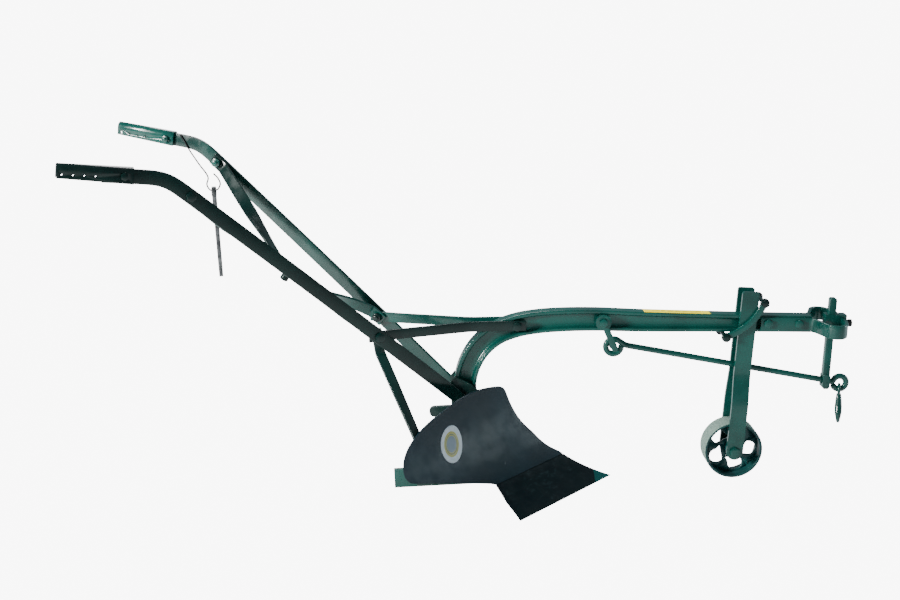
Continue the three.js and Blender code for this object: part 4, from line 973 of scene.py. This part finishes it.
def makeWheel():
    look = wheelLook
    r, half, inner = look["radius"], look["width"] / 2, look["radius"] - look["rim"]
    cornerSteps = 5
    rim = roundedOutline([[inner + 1.2, -half], [r, -half], [r, half], [inner + 1.2, half],
                          [inner - 0.8, 5], [inner - 0.8, -5]], [1.4, 1.2, 1.2, 1.4, 3, 3], cornerSteps)
    tread = np.linspace(-half + 2, half - 2, 12)
    at = cornerSteps * 2  # after the tread's first corner
    rim = np.vstack([rim[:at], np.stack([np.full(12, r), tread], -1), rim[at:]])
    across, bore, long = look["hub"], look["bore"], look["hubHalf"]
    hub = roundedOutline([[bore, -long], [across - 1.2, -long], [across + 0.4, -6], [across + 0.4, 6],
                          [across - 1.2, long], [bore, long]], 1.5, 4)
    shapes = [turned(rim, wheelCentre, [0, 1, 0], [1, 0, 0], 144),
              turned(hub, wheelCentre, [0, 1, 0], [1, 0, 0], 64)]
    shapes += [wheelSector(i) for i in range(look["windows"])]
    piece = makePiece("gauge_wheel", shapes, "wheel", treadPaint, ["wheel"], slot="worn_paint")
    off = vertexPlaces(piece.data) * 1000 - frameShift - wheelCentre
    fromAxle = np.hypot(off[:, 0], off[:, 2])
    tread = piece.data.attributes.new("tread", "FLOAT", "POINT")
    tread.data.foreach_set("value", np.clip((fromAxle - (r - 1.6)) / 1.4, 0, 1).astype(np.float32))


armLook = dict(lean=5.3, width=38, thickness=8, low=28.5, high=16.5, splayLow=112, splayHigh=186, top=379,
               topCorner=5)


def makeArms():
    # Flat bar up from the axle: half its width follows a circle at the foot and a rounded corner at the top,
    # and its sideways place follows the joggle.
    look = armLook
    lean = math.radians(look["lean"])
    way = np.array([math.sin(lean), 0, math.cos(lean)])
    across = np.array([math.cos(lean), 0, -math.sin(lean)])
    half = look["width"] / 2
    foot = -half * np.cos(np.linspace(0, np.pi / 2, 16))
    rise = np.concatenate([foot, np.linspace(4, look["splayLow"] - 20, 10),
                           np.linspace(look["splayLow"] - 14, look["splayHigh"] + 14, 30),
                           np.linspace(look["splayHigh"] + 20, look["top"] - 5, 20),
                           look["top"] + np.array([-4, -2.6, -1.4, -0.5, 0])])
    halfWidth = np.where(rise < 0, np.sqrt(np.clip(half**2 - rise**2, 0.05, None)), half)
    fromTop = look["top"] - rise
    cut = look["topCorner"]
    rounded = half - cut + np.sqrt(np.clip(cut**2 - (cut - fromTop)**2, 0, None))
    halfWidth = np.where(fromTop < cut, rounded, halfWidth)
    step = np.clip((rise - look["splayLow"]) / (look["splayHigh"] - look["splayLow"]), 0, 1)
    step = eased(step) * 0.35 + step * 0.65
    inner = look["low"] + (look["high"] - look["low"]) * step
    columns = np.linspace(-1, 1, 9)
    for side, hand in sides:
        flat = wheelCentre + rise[:, None, None] * way + (halfWidth[:, None] * columns)[..., None] * across
        near, far = flat.copy(), flat.copy()
        near[..., 1] += side * inner[:, None]
        far[..., 1] += side * (inner[:, None] + look["thickness"])
        makePiece(f"wheel_arm_bar_{hand}", [sheetSolid(near, far)], "wheel_fork", greenPaint,
                  [f"wheel_arm_{hand}"], bevel=1.0, segments=3, angle=50, slot="green_paint")


bowLook = dict(line=[[621.5, 419], [607, 395], [589, 374], [566, 358], [535, 343]], inner=24.8,
               thickness=9, width=15, boss=10.5)


def makeBows():
    look = bowLook
    curve = throughPoints(look["line"], 60)
    for side, hand in sides:
        y = side * (look["inner"] + look["thickness"] / 2)
        path = np.stack([curve[:, 0], np.full(60, y), curve[:, 1]], -1)
        strap = carried(path, [0, side, 0], flatBarOutline(look["width"], look["thickness"], 3.2))
        makePiece(f"clamp_bow_strap_{hand}", [strap], "frame", greenPaint, [f"clamp_bow_{hand}"],
                  slot="green_paint")
        r, h = look["boss"], look["thickness"] / 2
        profile = [[0, -h], [r - 1.6, -h], [r - 0.5, 0.6 - h], [r, 1.8 - h], [r, h - 1.8],
                   [r - 0.5, h - 0.6], [r - 1.6, h], [0, h]]
        bossPlaces = [look["line"][0], look["line"][-1]]
        ends = [turnedSolid(profile, [x, y, z], [0, 1, 0], [1, 0, 0]) for x, z in bossPlaces]
        # The bosses are in the shaded green, which is painted shade.
        makePiece(f"clamp_bosses_{hand}", ends, "frame", shadedGreenPaint, slot="dark_green_paint")


makeWheel()
makeArms()
makeBows()
print("wheel, fork and clamp made")


hakeLook = dict(x=700, z=362.2, tilt=3.6, height=31, thickness=8, leg=[[-85, 20.3], [26, 20.3]],
                bend=[[34, 24], [42, 37], [49, 57], [57, 75], [70, 84], [84, 82], [95, 69], [102, 48],
                      [104.5, 30]], front=105)


def onNose(points):
    # Places in the hake's own tilted frame carried to the plow's.
    tilt = math.radians(hakeLook["tilt"])
    u, v, w = np.moveaxis(np.asarray(points, float), -1, 0)
    return np.stack([hakeLook["x"] + u * math.cos(tilt) + w * math.sin(tilt), v,
                     hakeLook["z"] - u * math.sin(tilt) + w * math.cos(tilt)], -1)


def makeHake():
    # A flat bar bent in plan to the front half's line and its mirror, then set on the nose.
    look = hakeLook
    half = look["leg"] + look["bend"] + [[look["front"], 20], [look["front"], 0]]
    whole = np.array(half + [[u, -v] for u, v in half[-2::-1]], float)
    plan = softened(whole, 320, 9)
    path = np.column_stack([plan, np.zeros(len(plan))])
    across, up = framesAlong(path, [0, 0, 1])
    points = spread(path, up, across, flatBarOutline(look["height"], look["thickness"], 1.6))
    makePiece("hake_strap", [capped(onNose(points))], "frame", greenPaint, ["hake"], bevel=1.5,
              segments=3, angle=60, slot="green_paint")


makeHake()
roundedCopy("hitch_slider", "hitch_slider", greenPaint, bevel=1.0, slot="green_paint")
roundedCopy("regulator_bar", "regulator", greenPaint, bevel=1.4, slot="green_paint")
roundedCopy("set_screw", "set_screw", screwSteel, bevel=0.7, slot="steel")


rodLook = dict(radius=6.8, rear=(283, 326), rearRadius=18, above=8, front=(807, 211.5), frontRadius=16)


def makeDraftRod():
    # A round bar curled into an eye at each end: arc, S-bend, straight line, arc, then softened.
    look = rodLook
    x0, z0 = look["rear"]
    x1, z1 = look["front"]
    slope = (z1 - z0 - look["above"]) / (x1 - x0)
    rear = arcLine(x0, z0, look["rearRadius"], 372, 62, 60)
    front = arcLine(x1, z1, look["frontRadius"], 176, -168, 60)
    xs = np.linspace(x0 + 27, x1 - 25, 200)
    straight = np.stack([xs, z0 + look["above"] + slope * (xs - x0)], -1)
    line = softened(np.vstack([rear, straight, front]), 520, 9)
    path = np.stack([line[:, 0], np.zeros(len(line)), line[:, 1]], -1)
    fromEnd = np.minimum(np.arange(len(line)), np.arange(len(line))[::-1]) * 1.3
    size = roundedEnd(fromEnd, 3.5, 0.3)
    bar = carried(path, [0, 1, 0], roundOutline(look["radius"], 24), size=size)
    makePiece("draft_rod_bar", [bar], "draft_rod", greenPaint, ["draft_rod"], slot="green_paint")


hookLook = dict(eye=11, wire=3.5, bend=19, bar=8.3, shank=36, turn=-18.6,
                taper=[0.62, 0.86, 1, 0.95, 0.62, 0.42, 0.36, 0.3, 0.2])


def turnedAbout(points, x, degrees):
    # Points turned about an upright line at that x: (x, y) times the turn's cosines and sines.
    c, s = math.cos(math.radians(degrees)), math.sin(math.radians(degrees))
    off = points - [x, 0, 0]
    return np.stack([x + off[:, 0] * c - off[:, 1] * s, off[:, 0] * s + off[:, 1] * c, off[:, 2]], -1)


def makeHook():
    # Eye, shank and bend in one plane across the plow, thinning to the point.
    look = hookLook
    x, ringZ = rodLook["front"]
    eyeZ = ringZ - rodLook["frontRadius"]
    ring = np.column_stack([np.full(64, float(x)), roundOutline(look["eye"], 64) + [0, eyeZ]])
    eye = carried(ring, [1, 0, 0], roundOutline(look["wire"], 16), closed=True)
    top = eyeZ - look["eye"]
    end = top - look["shank"]
    angle = np.pi + np.pi * 1.12 * np.linspace(0, 1, 11)
    bend = np.stack([look["bend"] * np.cos(angle), end - 12 + look["bend"] * np.sin(angle)], -1)
    line = throughPoints(np.vstack([[[0, top], [-2, top - 10], [-look["bend"] * 0.6, end + 6]], bend]), 120)
    taper = look["taper"]
    size = np.interp(np.linspace(0, len(taper) - 1, 120), np.arange(len(taper)), taper)
    tip = roundedEnd(np.arange(120)[::-1], 6, 0.05)
    path = np.column_stack([np.full(120, float(x)), line])
    bar = carried(path, [1, 0, 0], roundOutline(look["bar"], 20), size=size * tip)
    eye, bar = ((turnedAbout(points, x, look["turn"]), faces) for points, faces in (eye, bar))
    makePiece("draft_hook_bar", [eye, bar], "draft_hook", greenPaint, ["draft_hook"],
              slot="dark_green_paint")


makeDraftRod()
makeHook()
roundedCopy("drop_link", "drop_link", greenPaint, bevel=1.2, slot="green_paint")
print("hake, draft rod and hook made")


# The frog in its darker enamel, which is painted shade.
roundedCopy("frog", "frame", frogShadedPaint, bevel=0.9, slot="dark_green_paint")
roundedCopy("landside", "frame", greenPaint, bevel=1.0, slot="green_paint")
roundedCopy("spanner", "spanner", toolSteel, bevel=1.6, slot="steel")

wireLook = dict(radius=1.8, pivotZ=692, spannerX=-621, spannerY=205, clear=0.3)


def makeTieWire():
    # From the far handle's inner face to a loop through the spanner's eye, its points given one by one.
    look = wireLook
    low, x, y = look["pivotZ"], look["spannerX"], look["spannerY"]
    inner = -(handleLook["thickness"] / 2 + look["clear"] + look["radius"])
    start = [besideHandle(1, at, inner) + [0, 0, up] for at, up in ((-692, 14), (-683, 0), (-673, -18))]
    loopStart = np.array([-633, 212, 722])
    rest = [(start[-1] + loopStart) / 2, loopStart, [-636, y, 706], [-629, y, low + 1], [x, y, low],
            [-612, y, low + 2], [-605, y, 707], [-610, 206, 721], [-619, 208, 731]]
    path = throughPoints(np.vstack([start, rest]), 220)
    strand = carried(path, [0.05, 1, 0.1], roundOutline(look["radius"], 12))
    makePiece("tie_wire_strand", [strand], "frame", blackWire, ["tie_wire"], bevel=0.4, segments=2, angle=60,
              slot="steel")


makeTieWire()


def readBolt(name):
    # Axis, ends and sizes of a bolt, read from its node: the head is the thick end, and the tip the thin one.
    places = np.unique(np.round(vertexPlaces(nodes[name].data) * 1000, 3), axis=0) - frameShift
    axis = np.linalg.svd(places - places.mean(0), full_matrices=False)[2][0]
    height = places @ axis
    ends = [places[np.abs(height - value) < 0.05] for value in (height.min(), height.max())]
    spans = [np.linalg.norm(e - e.mean(0), axis=1).max() for e in ends]
    tip, head = (ends[0], ends[1]) if spans[1] > spans[0] else (ends[1], ends[0])
    axis = unit(head.mean(0) - tip.mean(0))
    height = (places - tip.mean(0)) @ axis
    off = np.linalg.norm(places - tip.mean(0) - height[:, None] * axis, axis=1)
    wide = np.unique(np.round(height[off > off.max() * 0.75], 1))
    corner = head[np.argmax(np.linalg.norm(head - head.mean(0), axis=1))] - head.mean(0)
    halfWay = (wide[0] + wide[-1]) / 2
    levels = [wide[0], wide[wide < halfWay][-1], wide[wide > halfWay][0], wide[-1]]
    return tip.mean(0), axis, unit(corner - axis * (corner @ axis)), off.max(), levels


boltLook = dict(pitch=1.5, headToShank=1.83)


def hexagonBlock(foot, axis, corner, low, high, reach, crowned):
    # A six-sided block: the side's reach is flat / cos(angle from the flat's middle), and its corners
    # are cut by a cone.
    angle = np.linspace(0, 2 * np.pi, 48, endpoint=False)
    flat = reach * math.cos(math.pi / 6)
    side = flat / np.cos(np.mod(angle, np.pi / 3) - np.pi / 6)
    cutBack = np.clip(side - flat * 0.97, 0, None) * 0.55
    zero, ring = np.zeros(48), np.full(48, flat * 0.95)
    tall = high - low
    top = tall * 0.12 if crowned else 0
    radii = np.stack([zero, ring, side, side, ring, ring * 0.6, zero])
    heights = np.stack([zero, zero, cutBack * (0 if crowned else 1), tall - top - cutBack,
                        zero + tall - top, zero + tall - top * 0.3, zero + tall])
    other = np.cross(axis, corner)
    spoke = np.cos(angle)[:, None] * corner + np.sin(angle)[:, None] * other
    points = foot + (low + heights)[..., None] * axis + radii[..., None] * spoke[None]
    return points.reshape(-1, 3), gridFaces(7, 48, closeColumns=True)


def shank(foot, axis, corner, low, high, radius, thread):
    # A round bar whose first part, up to the thread's length, has ridges one pitch apart.
    pitch, threadEnd = boltLook["pitch"], low + thread
    rises = np.unique(np.concatenate([np.linspace(low, threadEnd, 26), np.linspace(threadEnd, high, 8)]))
    ridge = np.where(rises < threadEnd, 0.5 - 0.5 * np.cos((rises - low) / pitch * 2 * np.pi), 1.0)
    size = radius * (0.9 + 0.1 * ridge) * np.clip(0.75 + (rises - low) * 0.4, 0, 1)
    profile = np.column_stack([np.concatenate([[0], size, [0]]), np.concatenate([[low], rises, [high]])])
    return turnedSolid(profile, foot, axis, corner, 24)


soilBolts = ["share_bolt_inner", "share_bolt_outer", "board_bolt_inner", "board_bolt_outer",
             "board_stay_bolt"]


def makeBolt(name, body, material):
    foot, axis, corner, reach, (nutLow, nutHigh, headLow, headHigh) = readBolt(name)
    radius = reach / boltLook["headToShank"]
    shapes = [hexagonBlock(foot, axis, corner, nutLow, nutHigh, reach, False)]
    if name in soilBolts:  # a plow bolt's head is round and nearly flush
        rise = headHigh - headLow
        dome = [[0, headLow], [reach * 0.97, headLow], [reach * 0.97, headLow + rise * 0.35],
                [reach * 0.85, headLow + rise * 0.8], [reach * 0.6, headHigh - rise * 0.05], [0, headHigh]]
        shapes.append(turnedSolid(dome, foot, axis, corner, 48))
    else:
        shapes.append(hexagonBlock(foot, axis, corner, headLow, headHigh, reach, True))
    shapes.append(shank(foot, axis, corner, 0.0, headLow + 0.2, radius, nutLow))
    makePiece(name + "_piece", shapes, body, material, [name], bevel=0.3, segments=2, angle=32,
              slot="dark_green_paint")


# Most bolts are in the shaded green, which is painted shade; these few keep the plain green.
lighterBolts = ["drop_link_bolt", "hake_bolt_1", "hake_bolt_2", "axle_bolt", "upper_bolt_left",
                "grip_bolt_left"]
for name in sorted(n for n in nodes if "_bolt" in n):
    body = "wheel_fork" if name == "axle_bolt" else "frame"
    sheetPaint = shareShadedPaint if name.startswith("share") else boardPaint
    # Share bolts take the share's near-black, which is painted shade.
    finish = sheetPaint if name in soilBolts else greenPaint if name in lighterBolts else shadedGreenPaint
    makeBolt(name, body, finish)
print("bolts made")


labelLook = dict(start=352, end=503, half=13.0, lift=0.3, sink=0.05, glow=0.8)


def labelFinish():
    # A plain yellow strip with broken dark marks along its middle and faint scuffs.
    # The UV map runs 0 to 1 along and across.
    material, tree, surface, place = startMaterial("yellowStrip")
    split = node(tree, "ShaderNodeSeparateXYZ")
    feed(tree, split.inputs[0], node(tree, "ShaderNodeUVMap", uv_map="strip").outputs["UV"])
    fromSide = calc(tree, "ABSOLUTE", calc(tree, "SUBTRACT", split.outputs["Y"], 0.5))
    fromEnd = calc(tree, "ABSOLUTE", calc(tree, "SUBTRACT", split.outputs["X"], 0.5))
    inside = calc(tree, "MULTIPLY", between(tree, fromSide, 0.16, 0.2, 1.0, 0.0),
                  between(tree, fromEnd, 0.36, 0.37, 1.0, 0.0))
    broken = between(tree, noise(tree, place, 260.0, 2.0, 0.5), 0.46, 0.54)
    printing = calc(tree, "MULTIPLY", calc(tree, "MULTIPLY", inside, broken), 0.55)
    tone = between(tree, noise(tree, place, 24.0, 4.0, 0.6), 0.3, 0.7)
    body = mixColour(tree, tone, linear(248, 214, 0), linear(255, 232, 0))
    body = mixColour(tree, printing, body, linear(60, 52, 14))
    scuff = between(tree, noise(tree, place, 120.0, 5.0, 0.7), 0.55, 0.75, 0.0, 0.4)
    feed(tree, surface.inputs["Base Color"], mixColour(tree, scuff, body, linear(214, 184, 60)))
    feed(tree, surface.inputs["Emission Color"], body)  # a weak glow, so that the strip stays bright
    surface.inputs["Emission Strength"].default_value = labelLook["glow"]
    feed(tree, surface.inputs["Roughness"], between(tree, tone, 0.0, 1.0, 0.32, 0.48))
    bumped(tree, surface, noise(tree, place, 400.0), 0.1, 0.0003)
    return material


def makeLabel():
    # A thin strip on the top flange: the beam's line moved up by its half depth, between two x's.
    look = labelLook
    line, half = beamCurve(800)
    along = unit(np.gradient(line, axis=0))
    upward = np.stack([-along[:, 1], along[:, 0]], -1)
    top = line + upward * half[:, None]
    chosen = np.linspace(look["start"], look["end"], 60)
    surface = np.stack([chosen, np.interp(chosen, top[:, 0], top[:, 1])], -1)
    normal = np.stack([np.interp(chosen, top[:, 0], upward[:, k]) for k in range(2)], -1)
    across = np.linspace(-look["half"], look["half"], 7)

    def layer(lift):
        xz = surface + normal * lift
        return np.stack(np.broadcast_arrays(xz[:, None, 0], across[None], xz[:, None, 1]), -1)

    piece = makePiece("beam_strip", [sheetSolid(layer(look["lift"]), layer(-look["sink"]))], "frame",
                      labelFinish(), slot="green_paint")
    places = vertexPlaces(piece.data) * 1000 - frameShift
    along = (places[:, 0] - look["start"]) / (look["end"] - look["start"])
    writeUv(piece.data, "strip", np.stack([along, places[:, 1] / look["half"] / 2 + 0.5], -1))


makeLabel()


cameraLook = dict(lens=53.303, sensor=36, place=(-0.15502, -2.89202, 1.23264), down=0.2629, left=-0.0278,
                  roll=0.0413)


def makeCamera():
    # The view: pitched down, turned a little right, rolled; its axes are the columns of a turn.
    look = cameraLook
    forward = np.array([-math.sin(look["left"]) * math.cos(look["down"]),
                        math.cos(look["left"]) * math.cos(look["down"]),
                        -math.sin(look["down"])])
    right = np.array([math.cos(look["left"]), math.sin(look["left"]), 0])
    up = np.cross(right, forward)
    rolledRight = math.cos(look["roll"]) * right - math.sin(look["roll"]) * up
    rolledUp = math.sin(look["roll"]) * right + math.cos(look["roll"]) * up
    turn = Matrix((rolledRight, rolledUp, -forward)).transposed().to_4x4()
    data = bpy.data.cameras.new("camera")
    data.lens = look["lens"]
    data.sensor_width = look["sensor"]
    data.clip_end = 200
    camera = newObject("camera", data)
    camera.matrix_world = Matrix.Translation(look["place"]) @ turn
    bpy.context.scene.camera = camera


lightLook = dict(
    key=dict(place=(-3.4, -1.6, 1.7), aim=(0.0, 0.0, 0.35), size=0.9, power=270, colour=(1.0, 0.99, 0.96)),
    rim=dict(place=(3.6, 0.4, 0.9), aim=(-0.1, 0.0, 0.25), size=1.6, power=44, colour=(0.8, 0.95, 1.0)),
    top=dict(place=(-0.4, 1.8, 2.6), aim=(0.0, 0.0, 0.3), size=1.6, power=60, colour=(1.0, 1.0, 1.0)),
    world=0.26, worldSeen=9.0, worldColour=(0.66, 0.93, 1.0), floorGlow=9.0, floorShare=0.95, floorZ=-0.031)


def makeFloor():
    floorMaterial, tree, surface, _ = startMaterial("paleFloor")
    surface.inputs["Base Color"].default_value = (0.86, 0.87, 0.88, 1)
    surface.inputs["Roughness"].default_value = 0.9
    surface.inputs["Specular IOR Level"].default_value = 0.1
    glow = node(tree, "ShaderNodeEmission")
    glow.inputs["Strength"].default_value = lightLook["floorGlow"]
    both = node(tree, "ShaderNodeMixShader")
    seen = node(tree, "ShaderNodeLightPath").outputs["Is Camera Ray"]
    feed(tree, both.inputs[0], calc(tree, "MULTIPLY", seen, lightLook["floorShare"]))
    tree.links.new(surface.outputs[0], both.inputs[1])
    tree.links.new(glow.outputs[0], both.inputs[2])
    tree.links.new(both.outputs[0], tree.nodes["Material Output"].inputs["Surface"])
    mesh = bpy.data.meshes.new("floor")
    mesh.from_pydata([(-60, -60, 0), (60, -60, 0), (60, 60, 0), (-60, 60, 0)], [], [[0, 1, 2, 3]])
    mesh.materials.append(floorMaterial)
    floor = newObject("floor", mesh)
    floor.location.z = lightLook["floorZ"]  # below the wheel at its lowest setting


def makeLights():
    for name in ("key", "rim", "top"):
        look = lightLook[name]
        light = bpy.data.lights.new(name, "AREA")
        light.shape, light.size = "DISK", look["size"]
        light.energy, light.color = look["power"], look["colour"]
        lamp = newObject(name, light)
        lamp.location = look["place"]
        way = Vector(look["aim"]) - Vector(look["place"])
        lamp.rotation_euler = way.to_track_quat("-Z", "Y").to_euler()


def makeWorld():
    world = bpy.data.worlds.new("studio")
    world.use_nodes = True
    tree = world.node_tree
    sky = tree.nodes["Background"]
    direct = node(tree, "ShaderNodeLightPath").outputs["Is Camera Ray"]
    feed(tree, sky.inputs["Color"],
         mixColour(tree, direct, (*lightLook["worldColour"], 1.0), (1.0, 1.0, 1.0, 1.0)))
    feed(tree, sky.inputs["Strength"],
         between(tree, direct, 0.0, 1.0, lightLook["world"], lightLook["worldSeen"]))
    bpy.context.scene.world = world


makeCamera()
makeFloor()
makeLights()
makeWorld()
print("stage made")
